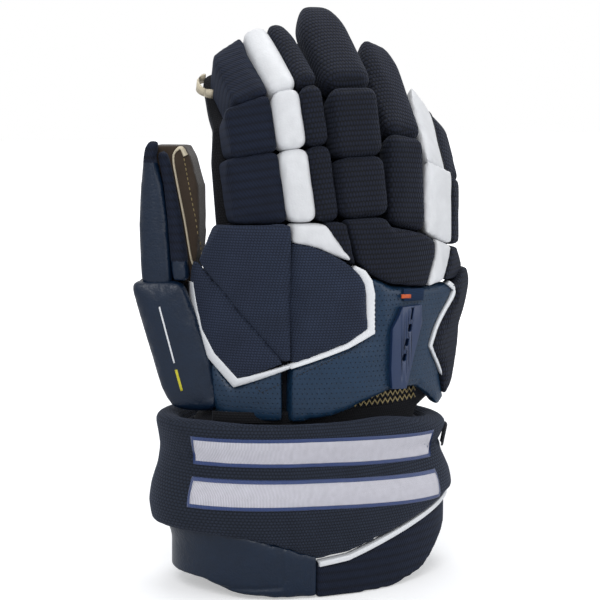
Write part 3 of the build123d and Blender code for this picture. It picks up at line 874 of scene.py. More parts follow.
def tube(name, rings, caps):
    """A tube through closed rings of equal length, closed at its first and last ring as caps says."""
    count = len(rings[0])
    points = [point for ring in rings for point in ring]
    faces = []
    for k in range(len(rings) - 1):
        for j in range(count):
            a, b = k * count + j, k * count + (j + 1) % count
            faces.append((a, b, b + count, a + count))
    for wanted, ring, start in ((caps[0], rings[0], 0), (caps[1], rings[-1], (len(rings) - 1) * count)):
        if wanted:
            points.append(sum(ring, Vector()) / count)
            faces += [(start + j, start + (j + 1) % count, len(points) - 1) for j in range(count)]
    obj = new_piece(name, points, faces)
    flip_outwards(obj)
    return obj


def flip_outwards(obj):
    work = bmesh.new()
    work.from_mesh(obj.data)
    bmesh.ops.recalc_face_normals(work, faces=work.faces)
    work.to_mesh(obj.data)
    work.free()


def two_tone(obj, direction, first, second, limit, slot):
    """First material on all faces, and the second on those that face the direction."""
    dress(obj, first, slot)
    obj.data.materials.append(MATERIALS[second])
    for polygon in obj.data.polygons:
        polygon.material_index = 1 if polygon.normal.dot(direction) > limit else 0


def finger_sleeve(finger):
    """The stretch stall of a finger, split in the middle of each segment and bent across each hinge."""
    segments = chain(finger)
    stalls = ["%s_stall" % segment.body for segment in segments]
    for k, segment in enumerate(segments):
        last = k + 1 == len(segments)
        rings = []
        if k == 0:
            for w in ROOT_RINGS:
                rings.append([segment.hinge + (segment.across * u + Vector((0, 1, 0)) * v) * MM
                              + segment.along * w * MM for u, v in stall_outline(finger, 0.0)])
        else:
            rings += sleeve_rings(finger, segments, k - 1, *BEFORE_HINGE, HALF_RINGS)
        if last:
            rings += sleeve_rings(finger, segments, k, AFTER_HINGE[0], 1.0, TIP_RINGS, True)
        else:
            rings += sleeve_rings(finger, segments, k, *AFTER_HINGE, HALF_RINGS)
        obj = tube(segment.body + "_sleeve", rings, (False, last))
        modify(obj, "SUBSURF", levels=1)
        cloth_flat(obj, segment.basis())
        two_tone(obj, segment.palm, "black_mesh", "suede", 0.5, "black_mesh")
        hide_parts(stalls[k])
        middle = segment.place(middle_of(finger), 0.0, 0.0)
        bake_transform(obj)


ROLL_FINISH = (("white_roll", "white_leather"), ("knit_roll", "navy_knit"), ("side_roll", "navy_knit"),
               ("side_pad", "navy_twill"), ("roll", "navy_knit"))
# how far the left and right edges of a roll move, in mm
ROLL_EDGES = {"little_tip_white_roll": (0.0, -4.6), "little_tip_side_roll": (-4.6, 0.0)}
# how much narrower a finger's end gets, and how far it stands up past its solids, in mm
TIP_PINCH = {"index": 0.14, "middle": 0.3, "ring": 0.26, "little": 0.2}
TIP_RISE = {"index": 4.5, "middle": 7.0, "ring": 5.0, "little": -1.5}
TIP_REACH = 22.0          # length of a finger's end over which its rolls draw in
TIP_FALL = 2.0            # how far the front of a finger falls back at its end


def roll_shape(finger, segment, node, tip):
    """The edges of a roll, and the rounded end of its finger."""
    def shape(obj):
        local = (coords(obj) - np.array(segment.hinge)) @ segment.basis() / MM
        low, high = ROLL_EDGES.get(node, (0.0, 0.0))
        least, most = local[:, 0].min(), local[:, 0].max()
        share = (local[:, 0] - least) / (most - least)
        local[:, 0] += low + (high - low) * share
        if tip:
            middle = middle_of(finger)
            near = smooth(local[:, 2], segment.length - TIP_REACH, segment.length) ** 2
            local[:, 0] = middle + (local[:, 0] - middle) * (1.0 - TIP_PINCH[finger] * near)
            local[:, 1] += TIP_FALL * near
            local[:, 2] += TIP_RISE[finger] * near
        set_coords(obj, local * MM @ np.array(segment.basis()).T + np.array(segment.hinge))
    return shape


def finger_rolls(finger):
    """The padded rolls on the back of a finger, each on its own segment."""
    segments = chain(finger)
    spread = (SIZES.roll_spread, 0.0, SIZES.roll_spread)
    for segment in segments:
        for kind, finish in ROLL_FINISH:
            node = "%s_%s" % (segment.body, kind)
            if node not in frame["nodes"]:
                continue
            shape = roll_shape(finger, segment, node, segment is segments[-1])
            obj = cushion(node + "_cover", node, segment.body, SIZES.roll_voxel, SIZES.roll_rounding,
                          SIZES.roll_swell, segment.basis(), spread, shape)
            cloth_flat(obj, segment.basis())
            dress(obj, finish, finish)


# ------------------------------------------------------------------ back of the hand
KNUCKLE_ROW = (("index_knuckle_white", "white_leather"), ("index_knuckle_knit", "navy_knit"),
               ("middle_knuckle_roll", "navy_knit"), ("little_knuckle_white", "white_leather"),
               ("little_knuckle_side", "navy_knit"))
HAND_PADS = (("index_hand_pad", "hex_knit"), ("index_corner_pad", "hex_knit"),
             ("center_hand_pad", "hex_knit"))
PLATES = (("backhand_plate", "navy_leather"), ("thumb_side_plate", "navy_leather"),
          ("little_side_panel", "navy_knit"))
SIDE_BULGE = 6.5          # how far the side of the hand swells past its solid
SIDE_LIFT = 8.0           # how much higher the side panel's outer corner stands
# (x, move in z) of the plates' lower edge: tucked behind the cuff, arched over the wrist mesh
PLATE_EDGE = ((-70.0, -7.0), (0.0, -7.0), (10.0, -5.5), (24.0, 0.5), (38.0, 5.5), (56.0, 6.0), (70.0, -2.0),
              (80.0, -12.0))
# binding strips: (x, z) along each one, and its width there
CENTER_STRIP = ((9.0, 196.6), (14.2, 193.0), (18.0, 187.4), (19.6, 180.0), (20.0, 158.0), (4.8, 149.9),
                (-28.5, 138.2))
CENTER_WIDTHS = (2.4, 4.4, 5.0, 5.2, 4.6, 3.0, 2.6)
CORNER_STRIP = ((-76.6, 186.0), (-75.8, 175.0), (-73.8, 157.4), (-68.8, 143.6), (-56.6, 127.2),
                (-28.5, 138.2))
CORNER_WIDTHS = (0.9, 1.8, 3.2, 4.2, 4.6, 2.4)
SIDE_STRIP = ((76.8, 181.6), (82.4, 176.6), (66.6, 144.0), (82.0, 117.6))
SIDE_WIDTHS = (2.6, 3.0, 2.6, 1.4)
BINDING_THICK = 1.3
BINDING_TILT = (0.6, -0.6)
BINDING_DEPTH = 1.2       # how far below the back's round the strips lie, and the one at the side
SIDE_DEPTH = 2.6
CORNER_FACET = ((-62.0, 216.0), (-30.0, 214.5), (-31.0, 190.0))
STITCH_GAP = 2.2          # from the edge of a binding strip to the stitches beside it
# stitches beside the binding: name, strip, widths, side, first point
BINDING_STITCHES = (("center_stitches", CENTER_STRIP, CENTER_WIDTHS, 1.0, 3),
                    ("corner_stitches", CORNER_STRIP, CORNER_WIDTHS, -1.0, 2))
LABEL_BAR = ((47.4, 177.6), (57.2, 176.9))


def bulge(points):
    """The side of the hand pushed out towards the little finger, above the waist of the hand."""
    points = points.copy()
    points[:, 0] += SIDE_BULGE * smooth(points[:, 2], 150.0, 175.0) * smooth(points[:, 0], 62.0, 86.0)
    return points


def shape_side(obj):
    points = bulge(glove_coords(obj))
    places, moves = zip(*PLATE_EDGE)
    points[:, 2] += np.interp(points[:, 0], places, moves) * (1.0 - smooth(points[:, 2], 111.0, 130.0))
    points[:, 2] += SIDE_LIFT * smooth(points[:, 0], 86.0, 100.0) * smooth(points[:, 2], 158.0, 174.0)
    set_glove_coords(obj, points)


def on_side_arch(radius):
    """The round back with the side pushed out as the plates are."""
    def surface(x, z, height):
        point = np.array([[x, arch_y(x, radius + height), z]])
        return at(*bulge(point)[0])
    return surface


def hand_cushions(rows, rounding, swell, shape=None):
    made = []
    for node, finish in rows:
        obj = cushion(node + "_cover", node, "hand", SIZES.pad_voxel, rounding, swell, shape=shape)
        cloth_round(obj, ARCH_CENTRE, ARCH_RADIUS)
        dress(obj, finish, finish)
        made.append(obj)
    return made


def hand_layer(node, finish, bevel):
    """A thin layer on the hand, dressed."""
    obj = thin_piece(node + "_cover", node, "hand", bevel)
    cloth_flat(obj)
    return dress(obj, finish, finish)


# ------------------------------------------------------------------ palm
PALM_FACE = 33.0          # just outside the palm leather
PALM_CLEAR = 40.0         # how far outside it the lines start
# suede patches: (z, left, right) rows of each outline
HEEL_PATCH = ((113.0, -52.0, 78.0), (118.0, -56.0, 83.0), (140.0, -56.0, 83.0), (152.0, -50.0, 80.0),
              (160.0, -34.0, 60.0))
GRIP_PATCH = ((168.0, 8.0, 60.0), (174.0, -8.0, 78.0), (192.0, -26.0, 74.0), (206.0, -30.0, 34.0),
              (210.0, -26.0, 28.0))
# stitches on them: (x, z) along each row
HEEL_STITCHES = ((-54.0, 116.0), (-54.0, 141.0), (-33.0, 157.5), (58.0, 157.5), (81.0, 141.0),
                 (81.0, 116.0), (-54.0, 116.0))
GRIP_STITCHES = ((-4.0, 176.0), (-24.0, 193.0), (-26.0, 206.0), (27.0, 206.0), (70.0, 191.0), (75.0, 176.0))
# the wrist sleeve: heights of its rings on the hand and in the cuff, where it bends, and shares of the bend
WRIST_ON_HAND = (119.0, 114.0)
WRIST_IN_CUFF = (97.0, 92.0)
WRIST_BEND = (110.0, 101.0)
WRIST_SHARES = (0.15, 0.4, 0.65, 0.9)
# its oval on the hand, cut off at both sides, at the palm and at the back, and its oval in the cuff
HAND_CENTRE = (14.0, -2.0)
HAND_HALVES = (84.0, 60.0)
HAND_SIDES = (-60.6, 88.6)
HAND_PALM = 27.6
HAND_BACK = 15.2
CUFF_INSIDE = (72.0, 36.4)
RING_TURNS = [math.radians(5.0 * k) for k in range(72)]
# tan chain stitch at the wrist: from and to x, step, swing and heights of its rows
CHAIN_REACH = (-6.0, 62.0)
CHAIN_STEP = 1.9
CHAIN_SWING = 1.4
CHAIN_ROWS = (112.2, 116.4)
CHAIN_DEPTH = 13.6


def hand_ring(z):
    """A ring just inside the hand's opening."""
    ring = []
    for turn in RING_TURNS:
        x = HAND_CENTRE[0] + HAND_HALVES[0] * math.sin(turn)
        x = min(max(x, HAND_SIDES[0]), HAND_SIDES[1])
        y = HAND_CENTRE[1] - HAND_HALVES[1] * math.cos(turn)
        y = min(max(y, arch_y(x, ARCH_RADIUS - HAND_BACK)), HAND_PALM)
        ring.append(at(x, y, z))
    return ring


def cuff_ring(z):
    """A ring just inside the cuff's liner."""
    wide, deep = CUFF_INSIDE
    return [at(CUFF_CENTRE[0] + wide * math.sin(turn), -deep * math.cos(turn), z) for turn in RING_TURNS]


def on_palm(objects):
    """Surface (x, z, height) of the palm side of these pieces."""
    touch = caster(objects)

    def surface(x, z, height):
        start = at(x, PALM_FACE + PALM_CLEAR, z)
        place = touch(start, Vector((0.0, -1.0, 0.0))) or at(x, PALM_FACE, z)
        return place + Vector((0.0, height, 0.0)) * MM

    return surface


def patch(name, outline, surface, rows=26, thick=1.1):
    """A flat leather patch between the left and right edges of its outline."""
    heights = [row[0] for row in outline]
    path, widths = [], []
    for k in range(rows + 1):
        z = heights[0] + (heights[-1] - heights[0]) * k / rows
        left = np.interp(z, heights, [row[1] for row in outline])
        right = np.interp(z, heights, [row[2] for row in outline])
        path.append(((left + right) / 2, z))
        widths.append(right - left)
    rings = []
    for (x, z), width in zip(path, widths):
        ring = []
        for share in eased(17):
            height = thick * min(1.0, 4.0 * share, 4.0 * (1.0 - share))
            ring.append(surface(x + width * (share - 0.5), z, height))
        for share in (0.95, 0.5, 0.05):
            ring.append(surface(x + width * (share - 0.5), z, -1.2))
        rings.append(ring)
    return tube(name, rings, (True, True))


# ------------------------------------------------------------------ thumb
# the thumb's own directions: across it, towards the hand, and up
THUMB_ORIGIN = (-88.0, 18.0, 0.0)
THUMB_ACROSS = Vector((math.sin(math.radians(THUMB_TURN)), -math.cos(math.radians(THUMB_TURN)), 0.0))
THUMB_CLOSING = Vector((math.cos(math.radians(THUMB_TURN)), math.sin(math.radians(THUMB_TURN)), 0.0))
THUMB_BASIS = np.array([THUMB_ACROSS, THUMB_CLOSING, (0.0, 0.0, 1.0)]).T
# edges of the tip's pieces across the thumb, at these heights
THUMB_HEIGHTS = (187.0, 190.0, 200.0, 213.0, 224.0, 243.0, 260.0, 266.0, 271.0)
THUMB_LEFT = (-9.0, -10.5, -11.6, -12.2, -12.4, -11.4, -9.8, -8.8, -7.0)
THUMB_SPLIT = (8.0, 8.0, 7.2, 6.2, 5.4, 3.0, -1.0, -0.5, 0.0)
THUMB_RIGHT = (18.0, 18.0, 17.0, 15.0, 13.2, 9.4, 6.4, 5.0, 3.5)
THUMB_INSIDE = (15.0, 19.0, 21.5, 22.6, 23.0, 22.6, 18.0, 15.0, 12.0)
THUMB_FOLD = 187.0        # height of the hinge
THUMB_CAP = 257.0         # twill above this height on the leather
THUMB_KNEE = 199.0        # leather below this height on the twill
THUMB_TUCK = 4.0          # how far the tip reaches down into the fold of the thumb
# how far the root spreads towards the hand at these heights
ROOT_HEIGHTS = (106.0, 118.0, 137.0, 160.0, 187.0)
ROOT_SPREAD = (10.0, 11.0, 11.0, 7.0, 1.0)
ROOT_LIFT = 2.0           # how much higher the root's bottom stands, clear of the cuff
# the sleeve inside the fold: its section, the heights of its rings, and its bend
FOLD_OUTLINE = [(-11.0, -4.0), (11.0, -4.0), (13.0, 4.0), (13.0, 15.0), (-11.0, 15.0)]
FOLD_HEIGHTS = (170.0, 176.0, 181.0, 185.0, 189.0, 193.0, 198.0, 204.0)
FOLD_REACH = 7.0
FOLD_DEPTH = 15.0
# accents on the leather: name, (across, height) from and to, width, finish
THUMB_ACCENTS = (("thumb_line", ((2.0, 172.0), (10.5, 138.0)), 1.0, "white_trim"),
                 ("thumb_mark", ((11.4, 134.0), (14.6, 121.0)), 1.6, "yellow"))


def thumb_place(u, v, z):
    return at(THUMB_ORIGIN[0], THUMB_ORIGIN[1], z) + (THUMB_ACROSS * u + THUMB_CLOSING * v) * MM


def thumb_coords(obj):
    """The mesh's points in the thumb's own directions, in mm."""
    return (glove_coords(obj) - np.array(THUMB_ORIGIN)) @ THUMB_BASIS


def set_thumb_coords(obj, local):
    set_glove_coords(obj, local @ THUMB_BASIS.T + np.array(THUMB_ORIGIN))


def narrowed(heights, left, right, edge=7.0):
    """Fits the width of a thumb piece to its left and right edges at given heights."""
    def shape(obj):
        local = thumb_coords(obj)
        u, z = local[:, 0].copy(), local[:, 2]
        levels = np.linspace(z.min() + edge, z.max() - edge, 16)
        step = levels[1] - levels[0]
        near = [np.abs(z - level) < step for level in levels]
        least = np.interp(z, levels, [u[band].min() for band in near])
        most = np.interp(z, levels, [u[band].max() for band in near])
        share = (u - least) / (most - least)
        low, high = np.interp(z, heights, left), np.interp(z, heights, right)
        local[:, 0] = low + share * (high - low)
        local[:, 2] -= THUMB_TUCK * (1.0 - smooth(z, THUMB_FOLD, THUMB_KNEE))
        set_thumb_coords(obj, local)
    return shape


def shape_root(obj):
    """The thumb's root spreads towards the hand as it goes down."""
    local = thumb_coords(obj)
    local[:, 0] += np.interp(local[:, 2], ROOT_HEIGHTS, ROOT_SPREAD) * smooth(local[:, 0], 0.0, 14.0)
    local[:, 2] += ROOT_LIFT * (1.0 - smooth(local[:, 2], 106.0, 122.0))
    set_thumb_coords(obj, local)


def shifted(edge, distance):
    return [u + distance for u in edge]


# pieces of the thumb: node, body, mesh step, rounding, swell, finish, slot, shape
THUMB_PIECES = (
    ("thumb_tip_shell", "thumb_tip", 1.7, 5, 1.0, "thumb_leather", "navy_leather",
     narrowed(THUMB_HEIGHTS, THUMB_LEFT, THUMB_SPLIT)),
    ("thumb_tip_side", "thumb_tip", 1.5, 3, 0.8, "navy_twill", "navy_twill",
     narrowed(THUMB_HEIGHTS, shifted(THUMB_SPLIT, 0.2), THUMB_RIGHT)),
    ("thumb_tip_stall", "thumb_tip", 1.7, 3, 0.0, "suede", "suede",
     narrowed(THUMB_HEIGHTS, shifted(THUMB_LEFT, 2.0), THUMB_INSIDE)),
    ("thumb_base_shell", "thumb_base", 1.8, 6, 1.4, "thumb_leather", "navy_leather", shape_root),
    ("thumb_base_stall", "thumb_base", 1.8, 3, 0.0, "black_mesh", "black_mesh", None),
)
# (across, height) where the raw edge of the inner leather starts, and where it curls over at the top
EDGE_START = (19.0, 196.0)
EDGE_CURL = [(9.0, 264.0), (12.5, 266.5), (15.0, 261.0)]
EDGE_REACH = (194.0, 262.0)
EDGE_PROUD = 0.6          # how far it stands past the twill
EDGE_WIDTH = 1.2
EDGE_FLARE = 1.6          # how much wider the curl gets at its end
SEAM_INSIDE = 6.0         # from the twill to the stitches on the suede


def on_thumb(objects):
    """Surface (distance across, z, height) of the back of the thumb."""
    return on_side(objects, THUMB_CLOSING, (THUMB_ORIGIN[0], THUMB_ORIGIN[1], 0.0), THUMB_ACROSS)


def bent_sleeve(name, rings, start, end, finish, slot):
    """A stretch tube through its rings, dressed in its finish; start and end are not used."""
    obj = tube(name, rings, (False, False))
    modify(obj, "SUBSURF", levels=1)
    cloth_flat(obj)
    dress(obj, finish, slot)
    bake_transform(obj)
    return obj


# ------------------------------------------------------------------ cuff
# (z, how far outwards) of the cuff roll's waist and bulge
CUFF_PROFILE = ((26.0, 0.0), (42.0, 2.0), (52.0, 3.2), (62.0, 1.4), (74.0, -3.2), (84.0, -4.6), (94.0, -2.6),
                (102.0, 0.0), (112.0, 0.0))
# how much higher the upper edge stands at the thumb and at the little finger, on the cuff and on its liner,
# which stays clear of the plates when the wrist bends back
CUFF_TOP = (1.5, -9.0)
LINER_TOP = (-3.5, -11.0)
CLOTH_RADIUS = 80.0       # the cuff's cloth is rolled out around this radius
# embroidered stripes: heights, width, reach in degrees, and how far they come down at the little finger
STRIPES = (89.0, 64.5)
STRIPE_WIDTH = 13.0
STRIPE_REACH = (-60.0, 50.0)
STRIPE_FALL = 6.0
EDGING = (1.6, 4.4)       # how much longer in degrees at each end, and wider in mm, the blue edging is
CUFF_GIRTH = 1.35         # mm around the cuff for each degree
FLAP_SEAM = ((-38.0, 30.0), (-38.0, 8.0), (-92.0, 5.0))
FLAP_DRAW = 7.5           # how far the thumb-side flap's outer end draws in
FLAP_CORNER = (1.5, 6.0)  # how much higher its lower edge stands, and its outer corner on top of that
FLAP_MEET = 0.9           # how far each flap's edge reaches towards the other flap
FLAP_TUCK = 3.0           # how far the flaps' upper edges reach up under the roll
TRIM_REACH = 1.3          # how far the white trim stands proud of the roll above it


def shape_top(obj, top=CUFF_TOP):
    """The cuff's upper edge falls towards the little finger."""
    points = glove_coords(obj)
    side = smooth(points[:, 0], 20.0, 88.0)
    points[:, 2] += (top[0] * (1.0 - side) + top[1] * side) * smooth(points[:, 2], 72.0, 105.0)
    set_glove_coords(obj, points)


def shape_flap(obj):
    """The thumb-side flap draws in below the roll, and its outer corner is round."""
    points = glove_coords(obj)
    side = smooth(-points[:, 0], 40.0, 92.0)
    points[:, 0] += FLAP_DRAW * side * (1.0 - 0.4 * smooth(points[:, 2], 24.0, 40.0))
    points[:, 0] += FLAP_MEET * smooth(points[:, 0], -30.0, -14.0)
    lift = FLAP_CORNER[0] + FLAP_CORNER[1] * smooth(-points[:, 0], 56.0, 86.0)
    points[:, 2] += lift * (1.0 - smooth(points[:, 2], 0.0, 15.0))
    points[:, 2] += FLAP_TUCK * smooth(points[:, 2], 9.0, 22.0)
    set_glove_coords(obj, points)


def shape_knit_flap(obj):
    """The little-finger flap meets the other flap, and its upper edge lies under the roll."""
    points = glove_coords(obj)
    points[:, 0] -= FLAP_MEET * (1.0 - smooth(points[:, 0], -11.0, 6.0))
    points[:, 2] += FLAP_TUCK * smooth(points[:, 2], 9.0, 22.0)
    set_glove_coords(obj, points)


def shape_round(obj, heights, offsets):
    """Moves the points of a cuff piece outwards by an offset at each height."""
    points = glove_coords(obj)
    way = (points[:, :2] - np.array(CUFF_CENTRE)) / np.array(CUFF_HALVES) ** 2
    way /= np.linalg.norm(way, axis=1)[:, None]
    points[:, :2] += way * np.interp(points[:, 2], heights, offsets)[:, None]
    set_glove_coords(obj, points)


def shape_cuff(obj):
    """The waist and the bulge of the cuff roll, and its soft upper edge."""
    shape_round(obj, *zip(*CUFF_PROFILE))
    shape_top(obj)


def shape_liner(obj):
    """The liner and its insert end lower than the roll."""
    shape_top(obj, LINER_TOP)


def shape_trim(obj):
    """The white trim stands a little proud of the roll above it."""
    shape_round(obj, (0.0, 60.0), (TRIM_REACH, TRIM_REACH))


# ------------------------------------------------------------------ settings and operators
def size(name, description, default, **limits):
    return bpy.props.FloatProperty(name=name, description=description, default=default, **limits)


def ink(name, code, description):
    """A colour setting, given as sRGB hex."""
    return bpy.props.FloatVectorProperty(
        name=name, description=description, subtype="COLOR", size=4, min=0.0, max=1.0, default=linear(code))


class GloveSizes(bpy.types.PropertyGroup):
    """Sizes that a user may change."""

    roll_rounding: bpy.props.IntProperty(
        name="Roll rounding", description="Smoothing passes on the finger rolls", default=3, min=0, max=40)
    pad_rounding: bpy.props.IntProperty(
        name="Pad rounding", description="Smoothing passes on the hand pads", default=4, min=0, max=40)
    roll_voxel: size("Roll mesh", "Mesh step of the finger rolls, in mm", 1.9, min=0.8)
    pad_voxel: size("Pad mesh", "Mesh step of the hand pads, in mm", 2.0, min=0.8)
    roll_spread: size("Roll spread", "How far each roll presses towards its neighbours, in mm", 0.35,
                      min=0.0)
    roll_swell: size("Roll swell", "Most that a roll's filling moves its cover, in mm", 0.9, min=0.0)
    pad_swell: size("Pad swell", "Most that a hand pad's filling moves its cover, in mm", 1.6, min=0.0)
    cuff_swell: size("Cuff swell", "Most that the cuff's filling moves its cover, in mm", 2.0, min=0.0)
    pressure: size("Filling pressure", "Pressure of the filling on the covers", 5.0, min=0.0)
    camera_azimuth: size("Camera azimuth", "Where the camera stands around the glove", math.radians(-20.0),
                         subtype="ANGLE", unit="ROTATION")
    camera_elevation: size("Camera elevation", "How high the camera looks down from", math.radians(8.0),
                           subtype="ANGLE", unit="ROTATION")
    camera_distance: size("Camera distance", "From the camera to the middle of the glove", 1.013,
                          subtype="DISTANCE", unit="LENGTH")


class GloveColors(bpy.types.PropertyGroup):
    """Colours that a user may change."""

    white_leather: ink("White leather", "#e9eaec", "Coated leather of the light rolls")
    navy_leather: ink("Navy leather", "#17344f", "Punched leather on the back of the hand")
    thumb_leather: ink("Thumb leather", "#0d2138", "Smooth leather on the thumb and the cuff flap")
    knit_loop: ink("Roll knit", "#181d2c", "Loops of the knit on the finger rolls")
    # painted shade between the loops of the roll knit
    knit_gap_shade: ink("Roll knit gaps", "#06080d", "Between the loops of the knit on the finger rolls")
    hex_knit: ink("Pad knit", "#2b3448", "Dots of the knit on the hand pads")
    twill: ink("Side twill", "#131b2d", "Ribs of the twill on the index side and thumb")
    cuff_knit: ink("Cuff knit", "#272e3c", "Dashes of the knit on the cuff")
    mesh: ink("Gusset mesh", "#15161b", "Stretch mesh in the gussets and at the wrist")
    lining: ink("Lining", "#20222a", "Brushed lining of the hand and the cuff")
    suede: ink("Palm suede", "#54463a", "Split suede of the palm, fingers and thumb")
    suede_patch: ink("Palm patches", "#6b5844", "Second layer of suede on the palm")
    guard: ink("Knuckle guard", "#1d3256", "Moulded guard on the back of the hand")
    binding: ink("Binding", "#eceef1", "White strips between the pads")
    thread_white: ink("White embroidery", "#e6e4ee", "Stripes on the cuff")
    thread_blue: ink("Blue embroidery", "#2b4580", "Edging of the stripes on the cuff")
    tag: ink("Tag", "#333338", "Woven tag on the cuff")
    label: ink("Label", "#17304f", "Woven label above the guard")
    orange: ink("Orange accent", "#c8561f", "Bar on the label")
    yellow: ink("Yellow accent", "#cfc52e", "Line on the thumb")
    thread_dark: ink("Dark thread", "#121823", "Stitches on the navy leather")
    thread_tan: ink("Tan thread", "#9b8a5e", "Stitches on the suede and the chain at the wrist")
    cream_edge: ink("Cut edge", "#d6cab0", "Raw edge of the thumb's inner leather")


class GloveOperator:
    """What the operators share."""

    bl_options = {"REGISTER", "UNDO"}


class GLOVE_OT_finger_rolls(GloveOperator, bpy.types.Operator):
    """Sew the padded rolls on the backs of the fingers"""

    bl_idname = "glove.finger_rolls"
    bl_label = "Finger rolls"

    def execute(self, context):
        for finger in FINGERS:
            finger_rolls(finger)
        return {"FINISHED"}


class GLOVE_OT_finger_sleeves(GloveOperator, bpy.types.Operator):
    """Make the stretch stalls with suede palms inside the rolls"""

    bl_idname = "glove.finger_sleeves"
    bl_label = "Finger sleeves"

    def execute(self, context):
        for finger in FINGERS:
            finger_sleeve(finger)
        tip = chain("index")[-1]
        wing = FINGERS["index"]["left"] - INDEX_WING[-1]
        rings = []
        for k in range(15):
            turn = math.pi * k / 14
            u = wing + 2.0 - LOOP_REACH * math.sin(turn)
            w = tip.length - 3.0 - LOOP_RADIUS * (1.0 - math.cos(turn))
            out, up = LOOP_THICK * math.sin(turn), LOOP_THICK * math.cos(turn)
            rings.append([tip.place(u + out * a, LOOP_DEPTH + LOOP_HALF * b, w + up * a)
                          for a, b in ((1, 1), (-1, 1), (-1, -1), (1, -1))])
        fixed(tube("index_pull_loop", rings, (True, True)), "cream_edge", tip.body)
        return {"FINISHED"}


class GLOVE_OT_hand_pads(GloveOperator, bpy.types.Operator):
    """Pad the back of the hand and the knuckles"""

    bl_idname = "glove.hand_pads"
    bl_label = "Hand pads"

    def execute(self, context):
        hand_cushions(KNUCKLE_ROW, SIZES.pad_rounding, SIZES.pad_swell)
        pads = hand_cushions(HAND_PADS, SIZES.pad_rounding, SIZES.pad_swell)
        groove(pads[0], CORNER_FACET, -0.7, 9.0)
        plates = hand_cushions(PLATES, 3, 0.8, shape_side)
        surface = on_back(plates[:2])
        for name, path, widths, side, first in BINDING_STITCHES:
            line = mitred(path, [side * (width / 2 + STITCH_GAP) for width in widths])[first:]
            fixed(stitches(name, line, surface), "thread_dark", "hand")
        return {"FINISHED"}


class GLOVE_OT_palm(GloveOperator, bpy.types.Operator):
    """Make the lining, the suede palm with its patches, and the wrist sleeve"""

    bl_idname = "glove.palm"
    bl_label = "Palm, lining and wrist"

    def execute(self, context):
        hand_layer("hand_lining", "lining", 0.6)
        surface = on_palm([hand_layer("palm_leather", "suede", 1.0)])
        patches = []
        for name, outline in (("palm_heel_patch", HEEL_PATCH), ("palm_grip_patch", GRIP_PATCH)):
            patches.append(fixed(patch(name, outline, surface), "suede_patch", "hand"))
        raised = on_palm(patches)
        for name, path in (("heel_stitches", HEEL_STITCHES), ("grip_stitches", GRIP_STITCHES)):
            fixed(stitches(name, path, raised, 3.2, 2.2), "thread_tan", "hand")
        hand_layer("wrist_mesh", "black_mesh", 0.4)
        self.sleeve()
        return {"FINISHED"}

    def sleeve(self):
        """The stretch fabric that joins the hand to the cuff, and the chain stitch on it."""
        high, low = WRIST_BEND
        rings = [hand_ring(z) for z in WRIST_ON_HAND]
        for share in WRIST_SHARES:
            rings.append([one.lerp(two, share) for one, two in zip(hand_ring(high), cuff_ring(low))])
        rings += [cuff_ring(z) for z in WRIST_IN_CUFF]
        bent_sleeve("wrist_sleeve", rings, at(ARCH_CENTRE[0], 0.0, high),
                    at(ARCH_CENTRE[0], 0.0, low), "black_mesh", "black_mesh")
        for row, z in enumerate(CHAIN_ROWS):
            places = np.arange(*CHAIN_REACH, CHAIN_STEP)
            path = [(x, z + CHAIN_SWING * (-1) ** k) for k, x in enumerate(places)]
            thread = strip("wrist_chain_thread_%d" % (row + 1), path, [0.8] * len(path),
                           on_arch(ARCH_RADIUS - CHAIN_DEPTH), 0.7, 0.6)
            fixed(thread, "thread_tan", "hand")


class GLOVE_OT_trim(GloveOperator, bpy.types.Operator):
    """Lay the white binding strips, the guard and its label"""

    bl_idname = "glove.trim"
    bl_label = "Binding, guard and label"

    def execute(self, context):
        for node, path, widths in (("center_trim", CENTER_STRIP, CENTER_WIDTHS),
                                   ("corner_trim", CORNER_STRIP, CORNER_WIDTHS)):
            obj = strip(node + "_binding", path, widths, on_arch(ARCH_RADIUS - BINDING_DEPTH), BINDING_THICK,
                        5.0, BINDING_TILT)
            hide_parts(node)
            fixed(obj, "white_trim", "hand", "white_trim")
        obj = strip("side_binding", SIDE_STRIP, SIDE_WIDTHS, on_side_arch(ARCH_RADIUS - SIDE_DEPTH),
                    BINDING_THICK, 4.0)
        fixed(obj, "white_trim", "hand", "white_trim")
        hand_layer("knuckle_guard", "guard_plastic", 0.9)
        label = hand_layer("guard_label", "label", 0.4)
        bar = strip("label_bar", LABEL_BAR, (2.4, 2.4), on_back([label]), 0.35, 0.5)
        fixed(bar, "orange", "hand")
        return {"FINISHED"}


